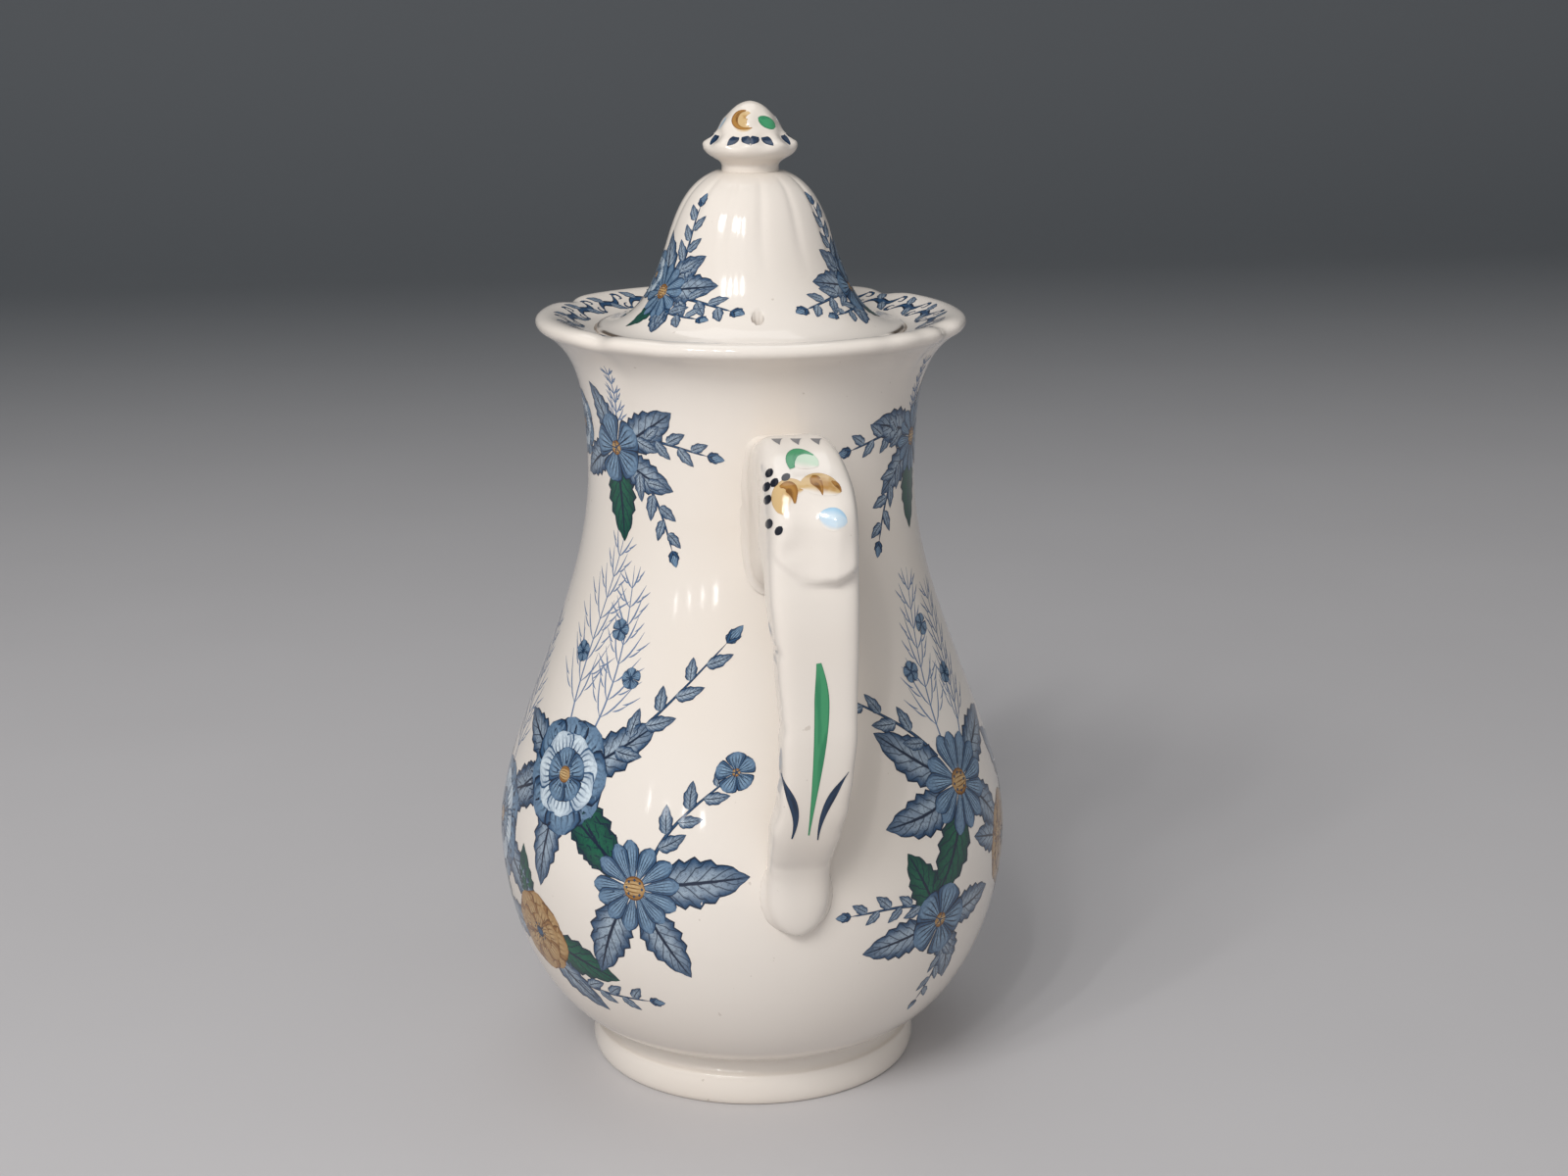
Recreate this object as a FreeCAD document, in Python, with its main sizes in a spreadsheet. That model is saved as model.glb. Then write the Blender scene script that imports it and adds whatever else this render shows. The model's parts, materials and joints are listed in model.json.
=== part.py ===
import FreeCAD, Part
import os
import re
import Sketcher
from FreeCAD import Vector

# A glazed earthenware coffee pot with a lift-off lid.
# The pot stands on its foot ring at z = 0, its axis is Z, the spout points to +X and the handle to -X.
# Heights called a rise are measured from the top of the foot ring, where the body begins.

SIZES = {
    "foot_radius": 42.6,            # foot ring: widest radius of its rounded band
    "foot_height": 12.5,            # foot ring: height from the table to the body
    "foot_band": 8.0,               # foot ring: height of the rounded band below the cove
    "foot_cove": 2.6,               # foot ring: how far the cove cuts in behind the band
    "foot_edge": 1.4,               # foot ring: rounding at the resting face
    "foot_wall": 6.0,               # foot ring: radial thickness
    "base_radius": 41.5,            # body: radius where it meets the foot ring
    "base_flare": 10.7,             # body: outward pull of the underside
    "base_lift": 2.2,               # body: upward pull of the underside
    "belly_radius": 66.0,           # body: outside of the belly at its widest
    "belly_rise": 49.5,             # body: height of the widest place
    "belly_fullness": 26.5,         # body: pull of the belly below the widest place
    "shoulder_fullness": 26.2,      # body: pull of the belly above the widest place
    "neck_radius": 41.3,            # body: outside of the neck at its narrowest
    "neck_rise": 144.5,             # body: height of the narrowest place
    "neck_slope": 34.6,             # body: pull of the neck below the narrowest place
    "neck_length": 23.0,            # body: pull of the neck above the narrowest place
    "rim_radius": 53.6,             # rim: outermost radius of the rolled lip
    "rim_rise": 183.8,              # rim: height of its crest
    "rim_flare": 8.6,               # rim: run of the flare under the lip
    "rim_turn": 5.0,                # rim: fall of the flare under the lip
    "lip_height": 3.3,              # rim: height of the rolled lip
    "lip_depth": 3.1,               # rim: distance from the lip's edge in to its crest
    "lip_round": 0.8,               # rim: how far the underside of the lip is tucked in
    "notch_angle": 55.0,            # rim: angle from the handle or the spout to a notch between two lobes
    "notch_radius": 3.0,            # rim: radius of a notch
    "notch_depth": 1.3,             # rim: how deep a notch cuts into the lip
    "wall": 4.5,                    # body: wall thickness, measured level
    "floor_thickness": 5.0,         # body: thickness of the floor
    "seat_depth": 5.0,              # lid seat: depth below the crest of the rim
    "seat_wall": 1.2,               # lid seat: height of the step round the lid's edge
    "lid_gap": 0.6,                 # lid seat: clearance round the lid's edge
    "strainer_hole": 2.5,           # strainer: radius of a hole
    "strainer_pitch": 7.5,          # strainer: distance from the middle hole to the others
    "strainer_lift": 4.5,           # strainer: height of the middle hole above the root of the spout
    "spout_root_rise": 45.5,        # spout: height of its root
    "spout_root_sink": 12.0,        # spout: how far in from the widest place its line starts
    "spout_root_pull": 26.0,        # spout: outward pull of its line past the belly
    "spout_root_lift": 8.0,         # spout: upward pull of its line at the root
    "spout_neck_out": 10.0,         # spout: distance of its upper bend past the belly
    "spout_neck_drop": 44.0,        # spout: distance of its upper bend below the tip
    "spout_reach": 35.0,            # spout: distance of the tip past the belly
    "spout_tip_rise": 171.5,        # spout: height of the tip
    "spout_root_height": 22.0,      # spout: half height of the root
    "spout_mid_height": 17.0,       # spout: pull of the half height above the root
    "spout_neck_height": 9.5,       # spout: pull of the half height below the tip
    "spout_tip_height": 8.0,        # spout: half height of the tip
    "spout_root_width": 15.0,       # spout: half width of the root
    "spout_mid_width": 13.0,        # spout: pull of the half width above the root
    "spout_neck_width": 8.5,        # spout: pull of the half width below the tip
    "spout_tip_width": 8.2,         # spout: half width of the tip
    "spout_wall": 3.2,              # spout: wall thickness
    "handle_root_rise": 139.5,      # handle: height of the middle of its root on the neck
    "handle_root_sink": 5.0,        # handle: how far inside the neck its line starts
    "arm_reach": 34.0,              # handle: outward pull of the arm from the root
    "arm_lift": 14.0,               # handle: upward pull of the arm from the root
    "finger_gap": 10.0,             # handle: clear distance from the belly's widest place to the strap
    "strap_rise": 99.5,             # handle: height of the middle of the strap
    "head_bulge": 5.0,              # handle: how far the head leans out past the strap
    "head_length": 59.0,            # handle: pull of the head above the middle of the strap
    "strap_length": 24.0,           # handle: pull of the strap below its middle
    "heel_reach": 10.0,             # handle: distance of the heel past the belly
    "heel_lift": 14.0,              # handle: height of the heel above the terminal
    "terminal_rise": 51.0,          # handle: height of the terminal on the belly
    "terminal_sink": 10.0,          # handle: how far inside the belly its line ends
    "arm_height": 37.0,             # handle: height of the root on the neck
    "head_height": 35.0,            # handle: pull of the thickness along the arm
    "chin_thickness": 12.0,         # handle: pull of the thickness under the head
    "strap_thickness": 9.5,         # handle: thickness of the strap
    "heel_thickness": 9.5,          # handle: pull of the thickness at the heel
    "terminal_height": 18.0,        # handle: thickness of the terminal where it meets the belly
    "arm_width": 18.0,              # handle: width of the root on the neck
    "head_width": 19.5,             # handle: width of the head
    "strap_width": 16.8,            # handle: width of the strap
    "heel_width": 15.0,             # handle: pull of the width at the heel
    "terminal_width": 15.0,         # handle: width of the terminal
    "handle_corner": 3.6,           # handle: rounding of its edges
    "lid_radius": 38.5,             # lid: radius of the flange
    "lid_edge": 2.0,                # lid: thickness of the flange at its edge
    "lid_edge_round": 0.8,          # lid: rounding of the flange's edge
    "lid_flange_run": 9.0,          # lid: inward pull of the flange
    "lid_waist_radius": 22.0,       # lid: radius where the flare turns into the dome
    "lid_waist_rise": 18.7,         # lid: height where the flare turns into the dome
    "lid_flare_run": 2.6,           # lid: outward pull of the flare under the waist
    "lid_flare_drop": 8.0,          # lid: downward pull of the flare under the waist
    "lid_dome_pull": 9.0,           # lid: upward pull of the dome above the waist
    "lid_crown_run": 8.5,           # lid: outward pull of the crown
    "lid_crown_drop": 3.0,          # lid: downward pull of the crown
    "lid_top_radius": 8.5,          # lid: radius of the flat under the knob
    "lid_rise": 39.7,               # lid: height of that flat above the seat
    "lid_wall": 4.2,                # lid: wall thickness
    "vent_radius": 1.5,             # vent: radius of the steam hole
    "vent_distance": 27.5,          # vent: distance from the axis
    "vent_angle": 6.9,              # vent: turn from the handle
    "collar_gap": 0.6,              # collar: clearance in the mouth of the neck
    "collar_wall": 4.0,             # collar: thickness
    "collar_depth": 11.0,           # collar: depth below the seat
    "collar_round": 1.0,            # collar: rounding of its lower outer edge
    "knob_stem_radius": 7.05,       # knob: radius of its stem
    "knob_stem": 1.3,               # knob: straight height of its stem
    "knob_radius": 11.6,            # knob: widest radius
    "knob_widest": 7.0,             # knob: height of the widest place
    "knob_undercut": 2.8,           # knob: pull of the curve under the widest place
    "knob_waist_radius": 7.9,       # knob: radius at the foot of the cone
    "knob_waist": 11.2,             # knob: height of the foot of the cone
    "knob_tip_radius": 3.6,         # knob: inward pull of the rounded tip
    "knob_height": 17.0,            # knob: whole height
}

# Share of a quarter round's radius at which its two control points lie.
QUARTER_ROUND = 0.5523

# Stations along the lines of the spout and the handle, as shares of each stretch.
SPOUT_STATIONS = (0, 0.25, 0.5, 0.75, 1)
ARM_STATIONS = (0, 0.25, 0.5, 0.75, 1)
STRAP_STATIONS = (1 / 3, 2 / 3, 1)

doc = FreeCAD.newDocument("coffee_pot")
dims = doc.addObject("Spreadsheet::Sheet", "dims")
for row, (alias, size) in enumerate(SIZES.items(), start=1):
    dims.set(f"A{row}", alias)
    dims.set(f"B{row}", str(size))
    dims.setAlias(f"B{row}", alias)
doc.recompute()

SIZE_WORD = re.compile(r"[a-z]+(?:_[a-z]+)*")


def bound(text):
    # Writes a formula of plain size names as one that reads the sheet.
    def cell(word):
        return "dims." + word.group() if word.group() in SIZES else word.group()

    return SIZE_WORD.sub(cell, text)


def value(text):
    return float(dims.evalExpression(bound(text)))


def blend(share, *pulls):
    # The formula of a smooth curve from the first size to the last, pulled by the two between them.
    rest = 1 - share
    weights = (rest ** 3, 3 * rest ** 2 * share, 3 * rest * share ** 2, share ** 3)
    return " + ".join(f"{weight:.6f} * ({pull})" for weight, pull in zip(weights, pulls))


def lean(share, line):
    # The formula of the angle at which a curved line climbs, in the plane of X and Z.
    rest = 1 - share
    weights = (-rest ** 2, rest ** 2 - 2 * rest * share, 2 * rest * share - share ** 2, share ** 2)
    run, climb = (
        " + ".join(f"({weight:.6f}) * ({point[axis]})" for weight, point in zip(weights, line))
        for axis in (0, 1)
    )
    return f"atan2({climb}; {run})"


def origin_plane(body, role):
    return next(plane for plane in body.Origin.OriginFeatures if plane.Role == role)


def pin(sketch, geometry, corner, point):
    # Ties one point of a sketch to its two formulas, or to an axis where a formula is plain zero.
    for kind, axis, text in (("DistanceX", -2, point[0]), ("DistanceY", -1, point[1])):
        if text == "0":
            sketch.addConstraint(Sketcher.Constraint("PointOnObject", geometry, corner, axis))
        else:
            tie = sketch.addConstraint(Sketcher.Constraint(kind, -1, 1, geometry, corner, value(text)))
            sketch.setExpression(f"Constraints[{tie}]", bound(text))


def draw(body, name, role, start, steps):
    # A closed outline on an origin plane. A step is a straight to its one point, or a curve to its last.
    sketch = body.newObject("Sketcher::SketchObject", name)
    sketch.AttachmentSupport = [(origin_plane(body, role), "")]
    sketch.MapMode = "FlatFace"
    edges = []
    here = start
    for step in steps:
        places = [Vector(value(x), value(y), 0) for x, y in (here, *step)]
        if len(places) == 2:
            edge = sketch.addGeometry(Part.LineSegment(*places), False)
        else:
            curve = Part.BSplineCurve(places, None, None, False, 3, None, False)
            edge = sketch.addGeometry(curve, False)
            first_pole = sketch.GeometryCount
            sketch.exposeInternalGeometry(edge)
            for offset, pull in enumerate(step[:-1], start=1):
                pin(sketch, first_pole + offset, 3, pull)
        edges.append(edge)
        here = step[-1]
    for edge, follower in zip(edges, edges[1:] + edges[:1]):
        sketch.addConstraint(Sketcher.Constraint("Coincident", edge, 2, follower, 1))
    for edge, step in zip(edges, steps):
        pin(sketch, edge, 2, step[-1])
    doc.recompute()
    return sketch


def turned(name, start, steps, rise="0"):
    # A body of revolution about Z from half of its section.
    body = doc.addObject("PartDesign::Body", name)
    sketch = draw(body, name + "_section", "XZ_Plane", start, steps)
    turn = body.newObject("PartDesign::Revolution", name + "_turn")
    turn.Profile = sketch
    turn.ReferenceAxis = (sketch, ["V_Axis"])
    turn.Angle = 360
    if rise != "0":
        body.setExpression("Placement.Base.z", bound(rise))
    doc.recompute()
    return body


def oval(half_width, half_height):
    w, h = f"({half_width})", f"({half_height})"
    near_w, near_h = f"{QUARTER_ROUND} * {w}", f"{QUARTER_ROUND} * {h}"
    steps = [
        [(w, near_h), (near_w, h), ("0", h)],
        [("-" + near_w, h), ("-" + w, near_h), ("-" + w, "0")],
        [("-" + w, "-" + near_h), ("-" + near_w, "-" + h), ("0", "-" + h)],
        [(near_w, "-" + h), (w, "-" + near_h), (w, "0")],
    ]
    return (w, "0"), steps


def soft_box(half_width, half_height, corner):
    w, h = f"({half_width})", f"({half_height})"
    flat_w, flat_h = f"({w} - {corner})", f"({h} - {corner})"
    pull_w, pull_h = (f"({flat} + {QUARTER_ROUND} * {corner})" for flat in (flat_w, flat_h))
    steps = [
        [(w, flat_h)],
        [(w, pull_h), (pull_w, h), (flat_w, h)],
        [("-" + flat_w, h)],
        [("-" + pull_w, h), ("-" + w, pull_h), ("-" + w, flat_h)],
        [("-" + w, "-" + flat_h)],
        [("-" + w, "-" + pull_h), ("-" + pull_w, "-" + h), ("-" + flat_w, "-" + h)],
        [(flat_w, "-" + h)],
        [(pull_w, "-" + h), (w, "-" + pull_h), (w, "-" + flat_h)],
    ]
    return (w, "-" + flat_h), steps


def station(body, name, line, share, shape):
    # One cross section, square to the line that the casting follows.
    sketch = draw(body, name, "YZ_Plane", *shape)
    out, up = (blend(share, *(point[axis] for point in line)) for axis in (0, 1))
    spot = f"create(<<vector>>; 0; {up}; {out})"
    turn = f"create(<<rotation>>; create(<<vector>>; 1; 0; 0); -{lean(share, line)})"
    sketch.setExpression("AttachmentOffset", bound(f"create(<<placement>>; {spot}; {turn})"))
    return sketch


def loft(body, kind, name, sections):
    feature = body.newObject("PartDesign::" + kind, name)
    feature.Profile = sections[0]
    feature.Sections = sections[1:]
    doc.recompute()
    return feature


def trimmed(name, casting, tool):
    # What is left of a casting outside the body of the pot, which it is luted to.
    piece = doc.addObject("Part::Cut", name)
    piece.Base = casting
    piece.Tool = tool
    doc.recompute()
    return piece


# Body: a pear-shaped shell with a narrow neck and a flared, notched rim.

def pot_outside():
    # From the edge of the base up to the edge of the lip.
    lip_under = ("rim_radius - lip_round", "rim_rise - lip_height")
    belly = ("belly_radius", "belly_rise")
    neck = ("neck_radius", "neck_rise")
    return [
        [
            ("base_radius + base_flare", "base_lift"),
            ("belly_radius", "belly_rise - belly_fullness"),
            belly,
        ],
        [
            ("belly_radius", "belly_rise + shoulder_fullness"),
            ("neck_radius", "neck_rise - neck_slope"),
            neck,
        ],
        [
            ("neck_radius", "neck_rise + neck_length"),
            ("rim_radius - lip_round - rim_flare", "rim_rise - lip_height - rim_turn"),
            lip_under,
        ],
        [
            ("rim_radius + lip_round", "rim_rise - lip_height / 2"),
            ("rim_radius - lip_round / 2", "rim_rise"),
            ("rim_radius - lip_depth", "rim_rise"),
        ],
    ]


SEAT_RISE = "(rim_rise - seat_depth)"
SEAT_RADIUS = "(lid_radius + lid_gap)"
THROAT_RADIUS = "(neck_radius - wall)"
INNER_BELLY = "(belly_radius - wall)"


def pot_inside():
    # From the crest of the rim over the lid seat and down the inside to the floor.
    seat_top = f"{SEAT_RISE} + seat_wall"
    inner_base = "(base_radius - wall)"
    return [
        [
            ("rim_radius - 2 * lip_depth", "rim_rise"),
            (f"{SEAT_RADIUS} + lip_depth", seat_top),
            (SEAT_RADIUS, seat_top),
        ],
        [(SEAT_RADIUS, SEAT_RISE)],
        [(THROAT_RADIUS, SEAT_RISE)],
        [(THROAT_RADIUS, "neck_rise")],
        [
            (THROAT_RADIUS, "neck_rise - neck_slope"),
            (INNER_BELLY, "belly_rise + shoulder_fullness"),
            (INNER_BELLY, "belly_rise"),
        ],
        [
            (INNER_BELLY, "belly_rise - belly_fullness + floor_thickness / 2"),
            (f"{inner_base} + base_flare", "floor_thickness + base_lift"),
            (inner_base, "floor_thickness"),
        ],
        [("0", "floor_thickness")],
    ]



def circles(body, name, role, places, radius):
    # Equal round holes on an origin plane.
    sketch = body.newObject("Sketcher::SketchObject", name)
    sketch.AttachmentSupport = [(origin_plane(body, role), "")]
    sketch.MapMode = "FlatFace"
    for x, y in places:
        ring = Part.Circle(Vector(value(x), value(y), 0), Vector(0, 0, 1), value(radius))
        hole = sketch.addGeometry(ring, False)
        size = sketch.addConstraint(Sketcher.Constraint("Radius", hole, value(radius)))
        sketch.setExpression(f"Constraints[{size}]", bound(radius))
        pin(sketch, hole, 3, (x, y))
    doc.recompute()
    return sketch


def pocket(body, sketch, length, reversed_way):
    # A cut that has to take something away.
    before = body.Shape.Volume
    feature = body.newObject("PartDesign::Pocket", sketch.Name + "_cut")
    feature.Profile = sketch
    feature.setExpression("Length", bound(length))
    feature.Reversed = reversed_way
    doc.recompute()
    if body.Shape.Volume >= before:
        raise RuntimeError(f"{feature.Name} cuts nothing")


def make_body():
    steps = [[("base_radius", "0")], *pot_outside(), *pot_inside(), [("0", "0")]]
    body = turned("body", ("0", "0"), steps, "foot_height")
    notch_centre = "(rim_radius + notch_radius - notch_depth)"
    places = [
        (f"{x_sign}{notch_centre} * cos(notch_angle)", f"{y_sign}{notch_centre} * sin(notch_angle)")
        for x_sign in ("", "-")
        for y_sign in ("", "-")
    ]
    notches = circles(body, "rim_notches", "XY_Plane", places, "notch_radius")
    notches.setExpression("AttachmentOffset.Base.z", bound("rim_rise"))
    pocket(body, notches, "2 * lip_height", False)
    middle = "(spout_root_rise + strainer_lift)"
    ring = [
        (f"strainer_pitch * cos({turn})", f"{middle} + strainer_pitch * sin({turn})")
        for turn in range(0, 360, 60)
    ]
    strainer = circles(body, "strainer", "YZ_Plane", [("0", middle), *ring], "strainer_hole")
    pocket(body, strainer, "belly_radius", True)
    return body


def make_pot_form():
    # The body filled solid: what the castings luted to it are trimmed with.
    steps = [[("base_radius", "0")], *pot_outside(), [("0", "rim_rise")], [("0", "0")]]
    return turned("pot_form", ("0", "0"), steps, "foot_height")


# Foot ring: a rounded band with a cove above it, luted under the base.

def make_foot_ring():
    inner = "foot_radius - foot_wall"
    cove = "foot_radius - foot_cove"
    steps = [
        [("foot_radius - foot_edge", "0")],
        [
            ("foot_radius + foot_edge / 2", "0"),
            ("foot_radius + foot_edge / 3", "foot_band - foot_edge"),
            ("foot_radius - foot_edge / 2", "foot_band"),
        ],
        [
            (cove, "foot_band"),
            (cove, "foot_height - foot_edge"),
            ("base_radius - foot_edge / 2", "foot_height"),
        ],
        [(inner, "foot_height")],
        [(inner, "0")],
    ]
    return turned("foot_ring", (inner, "0"), steps)


# Spout: a hollow swan-neck casting on the belly, opposite the handle.

SPOUT_LINE = [
    ("belly_radius - spout_root_sink", "spout_root_rise"),
    ("belly_radius + spout_root_pull", "spout_root_rise + spout_root_lift"),
    ("belly_radius + spout_neck_out", "spout_tip_rise - spout_neck_drop"),
    ("belly_radius + spout_reach", "spout_tip_rise"),
]
SPOUT_WIDTHS = ("spout_root_width", "spout_mid_width", "spout_neck_width", "spout_tip_width")
SPOUT_HEIGHTS = ("spout_root_height", "spout_mid_height", "spout_neck_height", "spout_tip_height")


def spout_sections(casting, name, wall):
    sections = []
    for number, share in enumerate(SPOUT_STATIONS):
        half_width = f"{blend(share, *SPOUT_WIDTHS)} - {wall}"
        half_height = f"{blend(share, *SPOUT_HEIGHTS)} - {wall}"
        shape = oval(half_width, half_height)
        sections.append(station(casting, f"{name}_{number}", SPOUT_LINE, share, shape))
    return sections


def make_spout(pot_form):
    casting = doc.addObject("PartDesign::Body", "spout_casting")
    loft(casting, "AdditiveLoft", "spout_outside", spout_sections(casting, "spout_outer", "0"))
    solid_volume = casting.Shape.Volume
    inner_sections = spout_sections(casting, "spout_inner", "spout_wall")
    loft(casting, "SubtractiveLoft", "spout_channel", inner_sections)
    if casting.Shape.Volume >= solid_volume:
        raise RuntimeError("the spout isn't hollow")
    casting.setExpression("Placement.Base.z", bound("foot_height"))
    return trimmed("spout", casting, pot_form)


# Handle: a deep arm on the neck, a rounded head, a flat strap and a terminal on the belly.

STRAP_LINE_OUT = "(belly_radius + finger_gap + strap_thickness / 2)"
ARM_LINE = [
    ("neck_radius - handle_root_sink", "handle_root_rise"),
    ("neck_radius - handle_root_sink + arm_reach", "handle_root_rise + arm_lift"),
    (f"{STRAP_LINE_OUT} + head_bulge", "strap_rise + head_length"),
    (STRAP_LINE_OUT, "strap_rise"),
]
STRAP_LINE = [
    (STRAP_LINE_OUT, "strap_rise"),
    (f"{STRAP_LINE_OUT} - head_bulge * strap_length / head_length", "strap_rise - strap_length"),
    ("belly_radius + heel_reach", "terminal_rise + heel_lift"),
    ("belly_radius - terminal_sink", "terminal_rise"),
]
ARM_HEIGHTS = ("arm_height", "head_height", "chin_thickness", "strap_thickness")
ARM_WIDTHS = ("arm_width", "head_width", "head_width", "strap_width")
STRAP_HEIGHTS = ("strap_thickness", "strap_thickness", "heel_thickness", "terminal_height")
STRAP_WIDTHS = ("strap_width", "strap_width", "heel_width", "terminal_width")


def make_handle(pot_form):
    casting = doc.addObject("PartDesign::Body", "handle_casting")
    sections = []
    for line, stations, widths, heights in (
        (ARM_LINE, ARM_STATIONS, ARM_WIDTHS, ARM_HEIGHTS),
        (STRAP_LINE, STRAP_STATIONS, STRAP_WIDTHS, STRAP_HEIGHTS),
    ):
        for share in stations:
            half_width, half_height = (f"({blend(share, *sizes)}) / 2" for sizes in (widths, heights))
            shape = soft_box(half_width, half_height, "handle_corner")
            sections.append(station(casting, f"handle_section_{len(sections)}", line, share, shape))
    loft(casting, "AdditiveLoft", "handle_bow", sections)
    casting.Placement.Rotation = FreeCAD.Rotation(Vector(0, 0, 1), 180)
    casting.setExpression("Placement.Base.z", bound("foot_height"))
    return trimmed("handle", casting, pot_form)


# Lid: a bell-shaped dome on a flat flange, with a steam hole on the handle's side.

LID_PLACE = f"foot_height + {SEAT_RISE}"
COLLAR_RADIUS = f"({THROAT_RADIUS} - collar_gap)"
COLLAR_BORE = f"({COLLAR_RADIUS} - collar_wall)"


def make_lid():
    dome_run = "lid_flare_run * lid_dome_pull / lid_flare_drop"
    inner_waist = "(lid_waist_radius - lid_wall)"
    inner_top = "lid_rise - lid_wall"
    steps = [
        [
            ("lid_top_radius", inner_top),
            (f"{inner_waist} - {dome_run}", "lid_waist_rise + lid_dome_pull"),
            (inner_waist, "lid_waist_rise"),
        ],
        [
            (f"{inner_waist} + lid_flare_run", "lid_waist_rise - lid_flare_drop"),
            (f"{COLLAR_BORE} - lid_flange_run", "lid_edge"),
            (COLLAR_BORE, "0"),
        ],
        [("lid_radius", "0")],
        [("lid_radius", "lid_edge - lid_edge_round")],
        [
            ("lid_radius", "lid_edge"),
            ("lid_radius", "lid_edge"),
            ("lid_radius - lid_edge_round", "lid_edge"),
        ],
        [
            ("lid_radius - lid_flange_run", "lid_edge"),
            ("lid_waist_radius + lid_flare_run", "lid_waist_rise - lid_flare_drop"),
            ("lid_waist_radius", "lid_waist_rise"),
        ],
        [
            (f"lid_waist_radius - {dome_run}", "lid_waist_rise + lid_dome_pull"),
            ("lid_top_radius + lid_crown_run", "lid_rise - lid_crown_drop"),
            ("lid_top_radius", "lid_rise"),
        ],
        [("0", "lid_rise")],
        [("0", inner_top)],
    ]
    lid = turned("lid", ("0", inner_top), steps, LID_PLACE)
    place = ("-vent_distance * cos(vent_angle)", "vent_distance * sin(vent_angle)")
    vent = circles(lid, "vent", "XY_Plane", [place], "vent_radius")
    pocket(lid, vent, "lid_waist_rise", True)
    return lid


# Collar: the ring under the lid that drops into the neck and keeps the lid from sliding off.

def make_lid_collar():
    bottom = "-collar_depth"
    steps = [
        [(COLLAR_RADIUS, "0")],
        [(COLLAR_RADIUS, f"{bottom} + collar_round")],
        [(COLLAR_RADIUS, bottom), (COLLAR_RADIUS, bottom), (f"{COLLAR_RADIUS} - collar_round", bottom)],
        [(COLLAR_BORE, bottom)],
        [(COLLAR_BORE, "0")],
    ]
    return turned("lid_collar", (COLLAR_BORE, "0"), steps, LID_PLACE)


# Knob: a mushroom with a conical top, luted on the flat of the dome.

def make_lid_knob():
    steps = [
        [("knob_stem_radius", "0")],
        [("knob_stem_radius", "knob_stem")],
        [
            ("knob_stem_radius", "knob_widest - knob_undercut"),
            ("knob_radius", "knob_widest - knob_undercut"),
            ("knob_radius", "knob_widest"),
        ],
        [
            ("knob_radius", "(knob_widest + knob_waist) / 2"),
            ("knob_waist_radius", "(knob_widest + knob_waist) / 2"),
            ("knob_waist_radius", "knob_waist"),
        ],
        [
            ("knob_waist_radius", "(knob_waist + knob_height) / 2"),
            ("knob_tip_radius", "knob_height"),
            ("0", "knob_height"),
        ],
        [("0", "0")],
    ]
    return turned("lid_knob", ("0", "0"), steps, f"{LID_PLACE} + lid_rise")


pot_form = make_pot_form()
sub_parts = [
    make_body(),
    make_foot_ring(),
    make_spout(pot_form),
    make_handle(pot_form),
    make_lid(),
    make_lid_collar(),
    make_lid_knob(),
]
doc.recompute()

for feature in doc.Objects:
    if "Invalid" in feature.State or "Error" in feature.State:
        raise RuntimeError(f"{feature.Name} failed: {feature.State}")
for piece in sub_parts:
    if piece.Shape.isNull() or not piece.Shape.isValid() or len(piece.Shape.Solids) != 1:
        raise RuntimeError(f"{piece.Label} isn't one sound solid")

os.makedirs("parts", exist_ok=True)
for piece in sub_parts:
    piece.Shape.exportStep(f"parts/{piece.Label}.step")
    print(f"{piece.Label}: {piece.Shape.Volume / 1000:.1f} cm3")
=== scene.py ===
import bpy
import bmesh
import json
import math
import random
from bisect import bisect_left
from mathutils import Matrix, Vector, noise
from mathutils.bvhtree import BVHTree
from mathutils.geometry import interpolate_bezier

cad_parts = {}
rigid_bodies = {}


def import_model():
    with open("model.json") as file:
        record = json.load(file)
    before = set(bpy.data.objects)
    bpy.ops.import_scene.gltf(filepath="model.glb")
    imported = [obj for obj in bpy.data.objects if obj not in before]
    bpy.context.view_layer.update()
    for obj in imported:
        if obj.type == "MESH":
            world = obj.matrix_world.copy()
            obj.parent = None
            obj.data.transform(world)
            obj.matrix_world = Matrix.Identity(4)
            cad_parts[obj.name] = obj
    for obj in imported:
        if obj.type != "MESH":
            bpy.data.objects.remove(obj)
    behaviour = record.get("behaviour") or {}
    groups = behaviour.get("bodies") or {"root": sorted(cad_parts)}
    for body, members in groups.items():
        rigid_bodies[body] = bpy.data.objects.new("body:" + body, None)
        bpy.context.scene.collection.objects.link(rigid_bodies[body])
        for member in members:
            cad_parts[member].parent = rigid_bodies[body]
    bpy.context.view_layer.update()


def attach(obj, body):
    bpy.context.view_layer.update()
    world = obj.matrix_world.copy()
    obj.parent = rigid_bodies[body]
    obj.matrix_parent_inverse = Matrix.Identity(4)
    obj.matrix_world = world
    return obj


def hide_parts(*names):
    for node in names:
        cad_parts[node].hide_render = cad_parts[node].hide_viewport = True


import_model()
mm = 0.001
up = Vector((0, 0, 1))
random.seed(11)


# profiles are half sections in millimetres, (radius, height) from the table up
def bend(start, pullA, pullB, end, steps):
    poles = [Vector((r, 0, z)) for r, z in (start, pullA, pullB, end)]
    return [(p.x, p.z) for p in interpolate_bezier(*poles, steps)]


def straight(start, end, steps):
    (r0, z0), (r1, z1) = start, end
    last = steps - 1
    return [(r0 + (r1 - r0) * i / last, z0 + (z1 - z0) * i / last) for i in range(steps)]


def chain(*runs):
    points = []
    for run in runs:
        points += [p for p in run if not points or math.dist(p, points[-1]) > 1e-4]
    return points


def smoothStep(low, high, x):
    t = min(max((x - low) / (high - low), 0), 1)
    return t * t * (3 - 2 * t)


def turnOf(co):  # degrees from the handle, positive towards +Y
    return math.degrees(math.atan2(co.y, -co.x))


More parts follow.
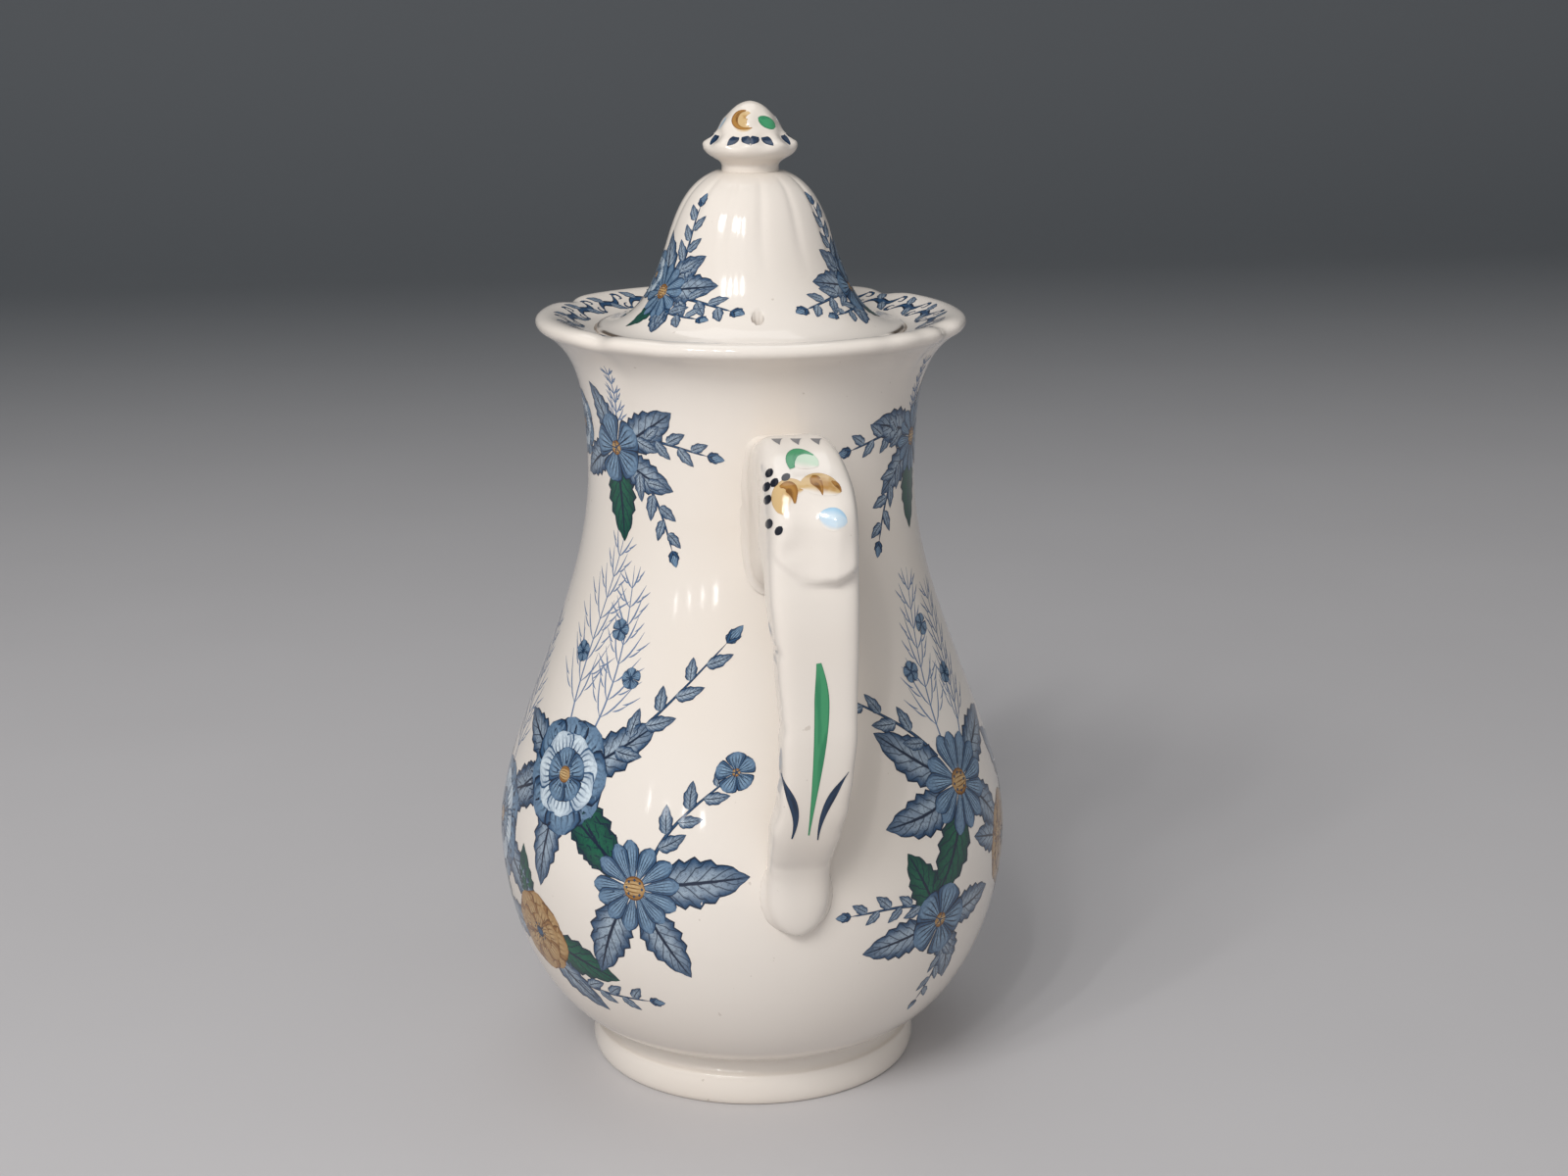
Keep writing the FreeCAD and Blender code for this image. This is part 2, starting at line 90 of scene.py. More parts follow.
def dirAt(turn):
    a = math.radians(turn)
    return Vector((-math.cos(a), math.sin(a), 0))


def turnGap(a, b):
    return (a - b + 180) % 360 - 180


def outward(co):  # level, away from the pot's axis
    return Vector((co.x, co.y, 0)).normalized()


def spun(points, steps):
    bm = bmesh.new()
    verts = [bm.verts.new((-r * mm, 0, z * mm)) for r, z in points]
    edges = [bm.edges.new(pair) for pair in zip(verts, verts[1:])]
    bmesh.ops.spin(bm, geom=verts + edges, cent=(0, 0, 0), axis=up, angle=math.tau, steps=steps,
                   use_merge=True)
    bmesh.ops.remove_doubles(bm, verts=bm.verts, dist=1e-6)
    bmesh.ops.recalc_face_normals(bm, faces=bm.faces)
    return bm


def makePiece(bm, name, materials, body, nodes=(), sharp=50):
    mesh = bpy.data.meshes.new(name)
    bm.to_mesh(mesh)
    mesh.shade_smooth()
    mesh.set_sharp_from_angle(angle=math.radians(sharp))
    piece = bpy.data.objects.new(name, mesh)
    bpy.context.collection.objects.link(piece)
    for material in materials:
        mesh.materials.append(material)
    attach(piece, body)
    if nodes:
        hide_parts(*nodes)
    return piece


# a hole pushed through both walls, square to the surface
def pierce(bm, spot, axis, radius, depth):
    def across(co):
        out = co - spot
        return out - axis * out.dot(axis)

    def near(co, reach):
        return across(co).length < reach and abs((co - spot).dot(axis)) < depth

    inside = [f for f in bm.faces if near(f.calc_center_median(), radius * 0.95)]
    bmesh.ops.delete(bm, geom=inside, context="FACES")
    rims = [e for e in bm.edges if e.is_boundary and near(e.verts[0].co, radius * 3)]
    for v in {v for e in rims for v in e.verts}:
        flat = across(v.co)
        v.co += flat.normalized() * radius - flat
    bmesh.ops.bridge_loops(bm, edges=rims)


# short ways to make a material's nodes; i2 stands for the third input
class Shader:
    def __init__(self, name):
        self.material = bpy.data.materials.new(name)
        self.material.use_nodes = True
        self.nodes = self.material.node_tree.nodes
        self.links = self.material.node_tree.links
        self.surface = self.nodes["Principled BSDF"]

    def add(self, kind, **inputs):
        node = self.nodes.new("ShaderNode" + kind)
        for key, value in inputs.items():
            self.feed(node, key, value)
        return node

    def feed(self, node, key, value):
        socket = node.inputs[int(key[1:])] if key[0] == "i" and key[1:].isdigit() else node.inputs[key]
        if isinstance(value, bpy.types.NodeSocket):
            self.links.new(value, socket)
        else:
            socket.default_value = value

    def math(self, operation, a, b=0.0):
        node = self.nodes.new("ShaderNodeMath")
        node.operation = operation
        self.feed(node, "i0", a)
        self.feed(node, "i1", b)
        return node.outputs[0]

    def ramp(self, value, low, high, toLow=0.0, toHigh=1.0):
        node = self.nodes.new("ShaderNodeMapRange")
        node.interpolation_type = "SMOOTHSTEP"
        names = ("Value", "From Min", "From Max", "To Min", "To Max")
        for key, number in zip(names, (value, low, high, toLow, toHigh)):
            self.feed(node, key, number)
        return node.outputs[0]

    def noise(self, vector, scale, detail=2.0):
        return self.add("TexNoise", Vector=vector, Scale=scale, Detail=detail).outputs["Fac"]

    def mix(self, factor, a, b):
        node = self.nodes.new("ShaderNodeMix")
        node.data_type = "RGBA"
        self.feed(node, "i0", factor)
        self.feed(node, "i6", a)
        self.feed(node, "i7", b)
        return node.outputs[2]

    def coords(self):
        return self.add("TexCoord").outputs["Object"]

    def motif(self):
        node = self.nodes.new("ShaderNodeUVMap")
        node.uv_map = "motif"
        split = self.add("SeparateXYZ", Vector=node.outputs[0])
        return split.outputs[0], split.outputs[1]


# the darkest glaze tone is painted along the lid's edge: partly wear, partly painted shade of the gap under
# the rim's crest
glazeLook = dict(cream=(0.765, 0.700, 0.632, 1), warm=(0.735, 0.660, 0.580, 1), speck=(0.42, 0.34, 0.27, 1),
                 rubAndGapShade=(0.10, 0.075, 0.055, 1), ior=1.52, wobble=0.10, wobbleDepth=0.0008,
                 glossiest=0.07, dullest=0.12)
# noise scales, from wide clouds to pits
glazeGrain = dict(cloud=14.0, smear=30.0, wave=55.0, lineBreak=70.0, speck=520.0, pit=1500.0)


# the wobble of a poured glaze, and its tiny pits
def glazeSkin(s, place):
    wave = s.noise(place, glazeGrain["wave"])
    pit = s.ramp(s.noise(place, glazeGrain["pit"], 0.0), 0.76, 0.82)
    height = s.math("SUBTRACT", wave, s.math("MULTIPLY", pit, 0.06))
    bump = s.add("Bump", Strength=glazeLook["wobble"], Distance=glazeLook["wobbleDepth"], Height=height)
    s.links.new(bump.outputs[0], s.surface.inputs["Normal"])
    smear = s.noise(place, glazeGrain["smear"])
    rough = s.ramp(smear, 0.3, 0.7, glazeLook["glossiest"], glazeLook["dullest"])
    s.links.new(rough, s.surface.inputs["Roughness"])
    s.surface.inputs["IOR"].default_value = glazeLook["ior"]


def glaze(name, rubAndGapShadeHeight=0.0):
    s = Shader(name)
    place = s.coords()
    cloud = s.ramp(s.noise(place, glazeGrain["cloud"], 3.0), 0.35, 0.75)
    tone = s.mix(cloud, glazeLook["cream"], glazeLook["warm"])
    speck = s.ramp(s.noise(place, glazeGrain["speck"], 1.0), 0.785, 0.82)
    tone = s.mix(s.math("MULTIPLY", speck, 0.40), tone, glazeLook["speck"])
    if rubAndGapShadeHeight:  # a broken dark line where an edge rubs on its seat, and painted shade of the gap between the lid and the rim's crest
        height = s.add("SeparateXYZ", Vector=place).outputs[2]
        band = s.math("MULTIPLY", s.ramp(height, rubAndGapShadeHeight, rubAndGapShadeHeight - 0.0001),
                      s.ramp(height, rubAndGapShadeHeight - 0.0009, rubAndGapShadeHeight - 0.0004))
        broken = s.ramp(s.noise(place, glazeGrain["lineBreak"]), 0.36, 0.56)
        tone = s.mix(s.math("MULTIPLY", band, broken), tone, glazeLook["rubAndGapShade"])
    s.links.new(tone, s.surface.inputs["Base Color"])
    glazeSkin(s, place)
    return s.material


creamGlaze = glaze("cream_glaze")

# pot body; the two points inside each bend are its pulls
bodySize = dict(base=(41.5, 12.5), belly=(65.7, 62), neck=(41.3, 157), lip=(52.8, 193), crest=(50.5, 196.3),
                seat=(39.1, 192.5), ledge=191.3, throat=36.8, wall=4.5, floor=17.5, steps=256)


def potOutside(fine=1):
    b = bodySize
    return chain(
        bend(b["base"], (52.2, 14.7), (65.7, 35.5), b["belly"], 30 * fine),
        bend(b["belly"], (65.7, 88.2), (41.3, 122.4), b["neck"], 40 * fine),
        bend(b["neck"], (41.3, 180), (44.2, 188), b["lip"], 26 * fine),
        bend(b["lip"], (54.4, 194.6), (53.2, 196.3), b["crest"], 12),
        bend(b["crest"], (47.4, 196.3), (42.2, 192.5), b["seat"], 18))


def potInside():
    b = bodySize
    seat, ledge, throat, floor = b["seat"][0], b["ledge"], b["throat"], b["floor"]
    neckHeight, bellyHeight = b["neck"][1], b["belly"][1]
    wide = b["belly"][0] - b["wall"]
    return chain(
        straight((seat, ledge + 0.6), (seat, ledge), 2),
        straight((seat - 0.5, ledge), (throat + 0.4, ledge), 3),
        straight((throat, ledge - 0.4), (throat, neckHeight), 8),
        bend((throat, neckHeight), (throat, 122.4), (wide, 88.2), (wide, bellyHeight), 26),
        bend((wide, bellyHeight), (wide, 38), (47.7, 19.7), (37, floor), 20),
        straight((30, floor), (0, floor), 5))


# the flared rim dips at four notches and a few faint ripples, and bows out a little between
rimSize = dict(notches=(54.5, 125, -54.5, -125), notchDepth=1.5, notchWidth=5.0, ripples=(-28, -41, 33),
               rippleDepth=0.35, rippleWidth=3.5, bow=0.25, inside=39.3, low=150, top=195.5, neckShare=0.10,
               drop=0.55)
handMarks = dict(beyond=41.6, scale=28, height=0.10)  # faint unevenness where the pot is wide


def rimDip(turn):
    m = rimSize
    dip = sum(m["notchDepth"] * math.exp(-(turnGap(turn, n) / m["notchWidth"]) ** 2) for n in m["notches"])
    dip += sum(m["rippleDepth"] * math.exp(-(turnGap(turn, n) / m["rippleWidth"]) ** 2) for n in m["ripples"])
    return dip - m["bow"] * abs(math.sin(math.radians(turn * 2)))


def rimShare(r, z):  # how much of a dip goes in towards the axis
    flare = smoothStep(181, rimSize["top"], z) * smoothStep(rimSize["inside"], 46, r)
    return flare + rimSize["neckShare"] * smoothStep(rimSize["low"], 185, z)


potProfile = potOutside()
wallProfile = potOutside(5)  # finer, for what is luted to the wall
potUnder = straight((0, bodySize["base"][1]), (36, bodySize["base"][1]), 6)
potBm = spun(chain(potUnder, potProfile, potInside()), bodySize["steps"])
for v in potBm.verts:
    r = v.co.to_2d().length / mm
    z = v.co.z / mm
    if r > rimSize["inside"] and z > rimSize["low"]:
        dip = rimDip(turnOf(v.co))
        v.co -= outward(v.co) * dip * rimShare(r, z) * mm
        v.co.z -= rimSize["drop"] * dip * smoothStep(186, rimSize["top"], z) * smoothStep(41, 49, r) * mm
    if r > handMarks["beyond"]:
        v.co += outward(v.co) * noise.noise(v.co * handMarks["scale"]) * handMarks["height"] * mm
strainer = dict(height=62.5, reach=63.8, hole=2.5, pitch=7.5, depth=6)
for hole in range(7):  # six holes round one
    turn = math.radians(60 * hole)
    out = strainer["pitch"] if hole < 6 else 0
    y, z = out * math.cos(turn), strainer["height"] + out * math.sin(turn)
    x = math.sqrt(strainer["reach"] ** 2 - y * y)
    pierce(potBm, Vector((x, y, z)) * mm, Vector((1, 0, 0)), strainer["hole"] * mm, strainer["depth"] * mm)
potTree = BVHTree.FromBMesh(potBm)
potBody = makePiece(potBm, "pot_body", [creamGlaze], "pot", ["body"])
print("pot body:", len(potBody.data.polygons), "faces")


# foot ring: a rounded band with a cove over it
footSize = dict(inside=36.6, joint=12.4, tread=(37.6, 41.2), band=(41.9, 8), cove=(41.3, 12.45), steps=192)


def footProfile():
    f = footSize
    inside, joint = f["inside"], f["joint"]
    treadIn, treadOut = f["tread"]
    return chain(
        straight((inside, joint), (inside, 0.9), 6),
        bend((inside, 0.9), (inside, 0.2), (36.9, 0), (treadIn, 0), 5),
        straight((38.5, 0), (40.6, 0), 4),
        bend((treadOut, 0), (43.3, 0), (43.0, 6.6), f["band"], 16),
        bend(f["band"], (40.0, 8.2), (39.9, 11.2), f["cove"], 12),
        straight((40.4, 12.48), (inside, joint), 5))


footBm = spun(footProfile(), footSize["steps"])
makePiece(footBm, "foot_ring_glazed", [creamGlaze], "pot", ["foot_ring"])


def profileArcs(points):
    arcs = [0.0]
    for a, b in zip(points, points[1:]):
        arcs.append(arcs[-1] + math.dist(a, b))
    return arcs


# radius, height and outward normal at a length along a profile
def alongProfile(points, arcs, arc):
    i = min(max(bisect_left(arcs, arc), 1), len(points) - 1)
    t = (arc - arcs[i - 1]) / (arcs[i] - arcs[i - 1])
    (r0, z0), (r1, z1) = points[i - 1], points[i]
    slope = Vector((r1 - r0, z1 - z0)).normalized()
    return r0 + (r1 - r0) * t, z0 + (z1 - z0) * t, slope.y, -slope.x


def radiusAt(points, z):
    for (r0, z0), (r1, z1) in zip(points, points[1:]):
        if z0 <= z <= z1:
            return r0 + (r1 - r0) * (z - z0) / max(z1 - z0, 1e-6)
    return points[0][0] if z < points[0][1] else points[-1][0]


# lid, with soft flutes that fade below the crown
lidSize = dict(under=(37.9, 191.32), edge=(38.5, 192.4), brim=(37.7, 193.4), waist=(22, 210), top=(8.5, 231),
               crown=231.05, hollow=(17.8, 210), roof=226.8, rubAndGapShade=193.45, steps=224)
fluteSize = dict(count=13, depth=0.55, width=0.45, start=203, full=222, fade=228, end=231, sway=14)
ventSize = dict(turn=6.9, arc=13.2, lean=0.25, radius=1.6, depth=9)


def lidOutside():
    d = lidSize
    edge = d["edge"][0]
    return chain(
        bend(d["edge"], (edge, 193.2), (38.3, 193.35), d["brim"], 6),
        bend(d["brim"], (29, 193.6), (24.6, 202), d["waist"], 30),
        bend(d["waist"], (19.1, 219), (17, 228), d["top"], 26))


def lidInside():  # from the middle of the hollow down to the edge
    d = lidSize
    return chain(
        straight(d["under"], (33, d["under"][1]), 4),
        bend((32.2, 191.35), (23.2, 193.4), (20.4, 202), d["hollow"], 22),
        bend(d["hollow"], (14.9, 219), (8.5, d["roof"]), (0, d["roof"]), 16))[::-1]


lidProfile = lidOutside()
lidEdge = bend(lidSize["under"], (38.3, 191.35), (lidSize["edge"][0], 191.6), lidSize["edge"], 5)
lidCrown = straight((6, lidSize["crown"]), (0, lidSize["crown"]), 4)
lidBm = spun(lidInside() + chain(lidEdge, lidProfile, lidCrown), lidSize["steps"])
for v in lidBm.verts:
    r = v.co.to_2d().length / mm
    z = v.co.z / mm
    if 196 < z < 230.9 and r > radiusAt(lidProfile, z) - 1.5:  # the outside
        turn = turnOf(v.co)
        a = math.radians(turn)
        fade = smoothStep(fluteSize["start"], fluteSize["full"], z)
        fade *= smoothStep(fluteSize["end"], fluteSize["fade"], z)
        uneven = 0.65 + 0.7 * noise.noise(Vector((math.cos(a), math.sin(a), 0)) * 2.2)
        sway = fluteSize["sway"] * math.sin(z / 6)
        across = math.sin(math.radians(turn * fluteSize["count"] / 2 + sway))
        groove = math.exp(-(across / fluteSize["width"]) ** 2)
        v.co -= outward(v.co) * fluteSize["depth"] * groove * fade * uneven * mm
ventWay = dirAt(ventSize["turn"])
ventAxis = (ventWay * ventSize["lean"] + up).normalized()
r, z = alongProfile(lidProfile, profileArcs(lidProfile), ventSize["arc"])[:2]
pierce(lidBm, (ventWay * r + up * z) * mm, ventAxis, ventSize["radius"] * mm, ventSize["depth"] * mm)
lidTree = BVHTree.FromBMesh(lidBm)
# the lid's glaze carries a dark line at its edge: partly wear, partly painted shade of the gap under the
# rim's crest
lidGlaze = glaze("lid_glaze", lidSize["rubAndGapShade"] * mm)
makePiece(lidBm, "lid_dome", [lidGlaze], "lid", ["lid"])

collarSize = dict(inside=32.2, outside=36.2, top=191.25, low=180.3, steps=160)


def collarProfile():
    c = collarSize
    inside, outside, top, low = c["inside"], c["outside"], c["top"], c["low"]
    return chain(
        straight((inside, top), (inside, 181), 6),
        bend((inside, 181), (inside, 180.4), (32.6, low), (33, low), 4),
        bend((35.2, low), (35.9, low), (outside, 180.6), (outside, 181.3), 5),
        straight((outside, 182), (outside, top), 6),
        straight((35.4, 191.28), (inside, top), 4))


collarBm = spun(collarProfile(), collarSize["steps"])
makePiece(collarBm, "lid_collar_glazed", [creamGlaze], "lid", ["lid_collar"])

# knob: a saucer with a lumpy cone in it
knobSize = dict(stem=7.05, joint=231.05, saucer=(11.4, 236.2), brim=(10.8, 238.3), cone=(7.8, 241.4),
                tip=247.9, waves=9, waveHeight=0.26, lumpHeight=1.5, slimmed=0.35, steps=144)
# turn, height, how far out and how many degrees wide
knobLumps = [(12, 243.6, 0.7, 16), (-38, 243.0, 0.8, 15), (62, 242.6, 0.8, 16), (120, 243, 0.7, 18),
             (-100, 243.2, 0.7, 17), (-160, 242.8, 0.8, 18), (168, 243.4, 0.6, 14)]


def knobOutside():
    k = knobSize
    stem, joint = k["stem"], k["joint"]
    return chain(
        straight((stem, joint), (stem, 232.3), 3),
        bend((stem, 232.3), (7.2, 234.0), (10.2, 234.2), k["saucer"], 12),
        bend(k["saucer"], (11.8, 237.0), (11.6, 237.9), k["brim"], 7),
        bend(k["brim"], (9.6, 239.0), (8.6, 239.8), k["cone"], 9),
        bend(k["cone"], (6.4, 244.0), (4.2, k["tip"]), (0, k["tip"]), 16))


knobProfile = knobOutside()
knobUnder = straight((0, knobSize["joint"]), (6, knobSize["joint"]), 4)
knobBm = spun(chain(knobUnder, knobProfile), knobSize["steps"])
lumpHeight = knobSize["lumpHeight"]
for v in knobBm.verts:
    z = v.co.z / mm
    turn = turnOf(v.co)
    out = Vector((v.co.x, v.co.y, 0))
    if z > 236 and out.length > 1e-5:
        out.normalize()
        lump = sum(tall * math.exp(-((z - at) / lumpHeight) ** 2 - (turnGap(turn, where) / wide) ** 2)
                   for where, at, tall, wide in knobLumps)
        wave = knobSize["waveHeight"] * math.sin(math.radians(turn * knobSize["waves"]))
        wave = wave * smoothStep(236, 238, z) * smoothStep(241.5, 239.4, z)
        v.co += (out * (lump - knobSize["slimmed"] * smoothStep(241, 243, z) + wave) + up * wave) * mm
knobTree = BVHTree.FromBMesh(knobBm)
makePiece(knobBm, "lid_knob_glazed", [creamGlaze], "lid", ["lid_knob"])
print("lid, collar and knob done")


# castings that follow a bent line and flow into the pot: handle and spout
def lineAt(line, t):
    share = t * (len(line) // 3)
    i = min(int(share), len(line) // 3 - 1)
    t = share - i
    p = [Vector(q) for q in line[3 * i:3 * i + 4]]
    s = 1 - t
    spot = p[0] * s ** 3 + p[1] * 3 * s * s * t + p[2] * 3 * s * t * t + p[3] * t ** 3
    way = (p[1] - p[0]) * s * s + (p[2] - p[1]) * 2 * s * t + (p[3] - p[2]) * t * t
    return spot, way.normalized()


def bendRadius(line, t, step=0.012):  # positive where the line turns to its left
    a, wayA = lineAt(line, max(t - step, 0))
    b, wayB = lineAt(line, min(t + step, 1))
    turn = wayA.cross(wayB)
    return (b - a).length / (turn if abs(turn) > 1e-6 else 1e-6)


def ease(sizes, t):  # sizes at even steps along the line
    share = t * (len(sizes) - 1)
    i = min(int(share), len(sizes) - 2)
    return sizes[i] + (sizes[i + 1] - sizes[i]) * smoothStep(0, 1, share - i)


def offPot(co):  # distance outside the pot's wall
    r = co.to_2d().length / mm
    z = co.z / mm
    lean = (radiusAt(wallProfile, z + 1) - radiusAt(wallProfile, z - 1)) / 2
    return (r - radiusAt(wallProfile, z)) / math.sqrt(1 + lean * lean)


# clay wiped into the joint: the casting spreads as it nears the wall and ends inside it
wiped = dict(power=2.4, share=0.55)


def luted(co, middle, way, fillet, sink):
    gap = offPot(co)
    if gap < fillet:
        spread = fillet * (1 - max(gap, 0) / fillet) ** wiped["power"] * wiped["share"]
        side = outward(co)
        side -= way * side.dot(way)  # the spread stays in the ring's own plane
        away = co - middle
        away -= side * away.dot(side)
        if away.length > 1e-6:
            co = co + away.normalized() * spread * mm
    if offPot(co) < -sink:
        r = radiusAt(wallProfile, co.z / mm) - sink
        flat = outward(co) * r * mm
        co = Vector((flat.x, flat.y, co.z))
    return co


def swept(rings, segments, place):
    bm = bmesh.new()
    around = bm.verts.layers.float.new("around")
    start = bmesh.ops.create_circle(bm, segments=segments, radius=1)["verts"]
    for i, v in enumerate(start):
        v[around] = math.tau * i / segments
        v.co = place(rings[0], v[around])
    first = edges = list(bm.edges)
    for ring in rings[1:]:
        grown = bmesh.ops.extrude_edge_only(bm, edges=edges)["geom"]
        edges = [g for g in grown if isinstance(g, bmesh.types.BMEdge) and g.is_boundary]
        for v in (g for g in grown if isinstance(g, bmesh.types.BMVert)):
            v.co = place(ring, v[around])
    return bm, first, edges


# the line runs from inside the neck out, down the strap, in at the heel and down the pressed tail
handleSize = dict(line=[(37, 151.8), (70.3, 166.2), (82.4, 171.5), (80.4, 112), (79.3, 98), (77.2, 89.5),
                        (71.6, 81.2), (68.2, 76.2), (66.5, 70), (65.6, 57.0)],
                  heights=(34.5, 32.5, 25, 13.5, 9.6, 9.5, 9.4, 9.2, 9.0, 8.7, 8.5, 8.6, 8.6),
                  widths=(17.0, 18.4, 20.6, 20.4, 17.4, 16.6, 16.4, 16.2, 15.6, 15.0, 14.9, 15.2, 15.2),
                  middles=(0, 0.2, 0.7, 0.7, -0.5, -0.4, 0, 0.9, 1.4, 1.5, 1.4, 1.3, 1.2),
                  squareness=(4.4, 4.8, 5.0, 4.8, 4.8, 4.8, 4.4, 4.0, 3.4, 3.0, 2.8, 2.6, 2.5),
                  nose=0.86, end=0.9995, bendShare=0.70, wander=0.18, fillet=3.0, sink=2.6,
                  rings=400, segments=72)
# modelled one by one: across, height, how far out, half width and half height
headLumps = [(2.2, 168.2, 1.25, 7.5, 2.7), (5.6, 161.6, 0.6, 3.0, 3.0), (-4.2, 160.4, 1.15, 3.3, 4.2),
             (-0.8, 157.2, -0.9, 1.0, 3.2), (1.6, 174.2, -0.55, 3.2, 2.4), (6.4, 155.5, -0.5, 2.2, 2.0)]
chinSize = dict(line=147.8, sag=0.052, middle=-1.6, depth=0.8, slant=2.0, full=158, fade=174)
# the left edge, trimmed by hand: height, depth and half height
edgeNicks = [(132, 0.5, 1.6), (124, -0.2, 4.0), (113.5, 0.35, 1.8), (100, 0.25, 1.6), (87, -0.4, 3.4)]


def headRelief(across, height):
    lump = sum(tall * math.exp(-((across - y) / wide) ** 2 - ((height - z) / high) ** 2)
               for y, z, tall, wide, high in headLumps)
    n = chinSize
    line = n["line"] + n["sag"] * (across - n["middle"]) ** 2
    depth = n["depth"] + n["slant"] * smoothStep(4, -4, across)
    chin = depth * smoothStep(line - 0.9, line + 1.1, height) * smoothStep(n["fade"], n["full"], height)
    return lump + chin


def handlePlace(t, around):
    h = handleSize
    spot, way = lineAt(h["line"], t)
    out = Vector((-way.y, way.x))
    c, s = math.cos(around), math.sin(around)
    power = 2 / ease(h["squareness"], t)
    tip = max(t - h["nose"], 0) / (1 - h["nose"])
    nose = max(1 - tip ** 3.6, 0) ** 0.5
    across = ease(h["widths"], t) / 2 * math.copysign(abs(c) ** power, c) * nose
    depth = ease(h["heights"], t) / 2 * math.copysign(abs(s) ** power, s) * (0.45 + 0.55 * nose)
    inner = h["bendShare"] * bendRadius(h["line"], t)  # no ring reaches past the middle of its bend
    depth = min(depth, inner) if inner > 0 else max(depth, inner)
    face = smoothStep(0.2, 0.9, s)  # the side that looks away from the pot
    flat = spot + out * depth
    flat = flat + out * headRelief(across, flat.y) * face
    nick = sum(deep * math.exp(-((flat.y - z) / high) ** 2) for z, deep, high in edgeNicks)
    nick *= smoothStep(0.5, 1, c)
    wander = h["wander"] * noise.noise(Vector((flat.x * 0.06, flat.y * 0.06, 3.0 + 0.4 * c)))
    co = Vector((-flat.x, across + ease(h["middles"], t) - nick + wander, flat.y)) * mm
    middle = Vector((-spot.x, ease(h["middles"], t), spot.y)) * mm
    return luted(co, middle, Vector((-way.x, 0, way.y)), h["fillet"], h["sink"])


count = handleSize["rings"]
rings = [i / count * handleSize["end"] for i in range(count + 1)]
handleBm, firstRing, lastRing = swept(rings, handleSize["segments"], handlePlace)
bmesh.ops.holes_fill(handleBm, edges=firstRing + lastRing, sides=0)
bmesh.ops.recalc_face_normals(handleBm, faces=handleBm.faces)
handleTree = BVHTree.FromBMesh(handleBm)
makePiece(handleBm, "strap_handle", [creamGlaze], "pot", ["handle"], sharp=80)

spoutSize = dict(line=[(54, 58), (92, 66), (76, 140), (101, 184)], heights=(22, 17.9, 13.7, 10.1, 7.95),
                 widths=(15, 13.1, 11, 9.1, 8.2), wall=3.2, lipRise=0.004, fillet=3.4, sink=2.6, rings=64,
                 segments=56)


def spoutPlace(ring, around):
    t, inset = ring
    n = spoutSize
    spot, way = lineAt(n["line"], t)
    out = Vector((way.y, -way.x))
    across = (ease(n["widths"], t) - inset) * math.cos(around)
    depth = (ease(n["heights"], t) - inset) * math.sin(around)
    flat = spot + out * depth
    co = Vector((flat.x, across, flat.y)) * mm
    fillet = n["fillet"] if inset < n["wall"] else 0.01  # none inside the channel
    return luted(co, Vector((spot.x, 0, spot.y)) * mm, Vector((way.x, 0, way.y)), fillet, n["sink"])


# rings go up the outside, over the lip and back down the channel
count = spoutSize["rings"]
wall = spoutSize["wall"]
lipTurns = [math.pi * i / 8 for i in range(9)]
lip = [(1 + spoutSize["lipRise"] * math.sin(a), wall / 2 * (1 - math.cos(a))) for a in lipTurns]
rings = [(i / count, 0) for i in range(count)] + lip + [(i / count, wall) for i in range(count - 1, -1, -1)]
spoutBm, firstRing, lastRing = swept(rings, spoutSize["segments"], spoutPlace)
bmesh.ops.bridge_loops(spoutBm, edges=firstRing + lastRing)
bmesh.ops.recalc_face_normals(spoutBm, faces=spoutBm.faces)
makePiece(spoutBm, "swan_spout", [creamGlaze], "pot", ["spout"], sharp=80)
print("handle and spout done")


# inks of the print, all under the same glaze
inkTones = dict(navy=(0.006, 0.015, 0.038, 1), midnight=(0.013, 0.036, 0.080, 1),
                denim=(0.022, 0.068, 0.148, 1), slate=(0.150, 0.210, 0.330, 1),
                pale=(0.23, 0.35, 0.48, 1), soft=(0.370, 0.450, 0.530, 1),
                sky=(0.34, 0.53, 0.68, 1), ice=(0.62, 0.70, 0.75, 1), moss=(0.006, 0.060, 0.040, 1),
                fir=(0.012, 0.120, 0.062, 1), green=(0.020, 0.190, 0.085, 1), grass=(0.050, 0.28, 0.125, 1),
                mint=(0.50, 0.62, 0.48, 1), brown=(0.150, 0.060, 0.010, 1), umber=(0.27, 0.115, 0.022, 1),
                ochre=(0.40, 0.20, 0.045, 1), honey=(0.58, 0.40, 0.19, 1), dusk=(0.17, 0.17, 0.18, 1),
                soot=(0.012, 0.014, 0.022, 1))
inkGrain = dict(mottle=300.0, stipple=1300.0, streak=40)  # noise scales


# 0 at a rib or the middle of a tooth, 1 half a step away from it
def offMiddle(s, value):
    return s.math("MULTIPLY", s.math("ABSOLUTE", s.math("SUBTRACT", value, 0.5)), 2.0)


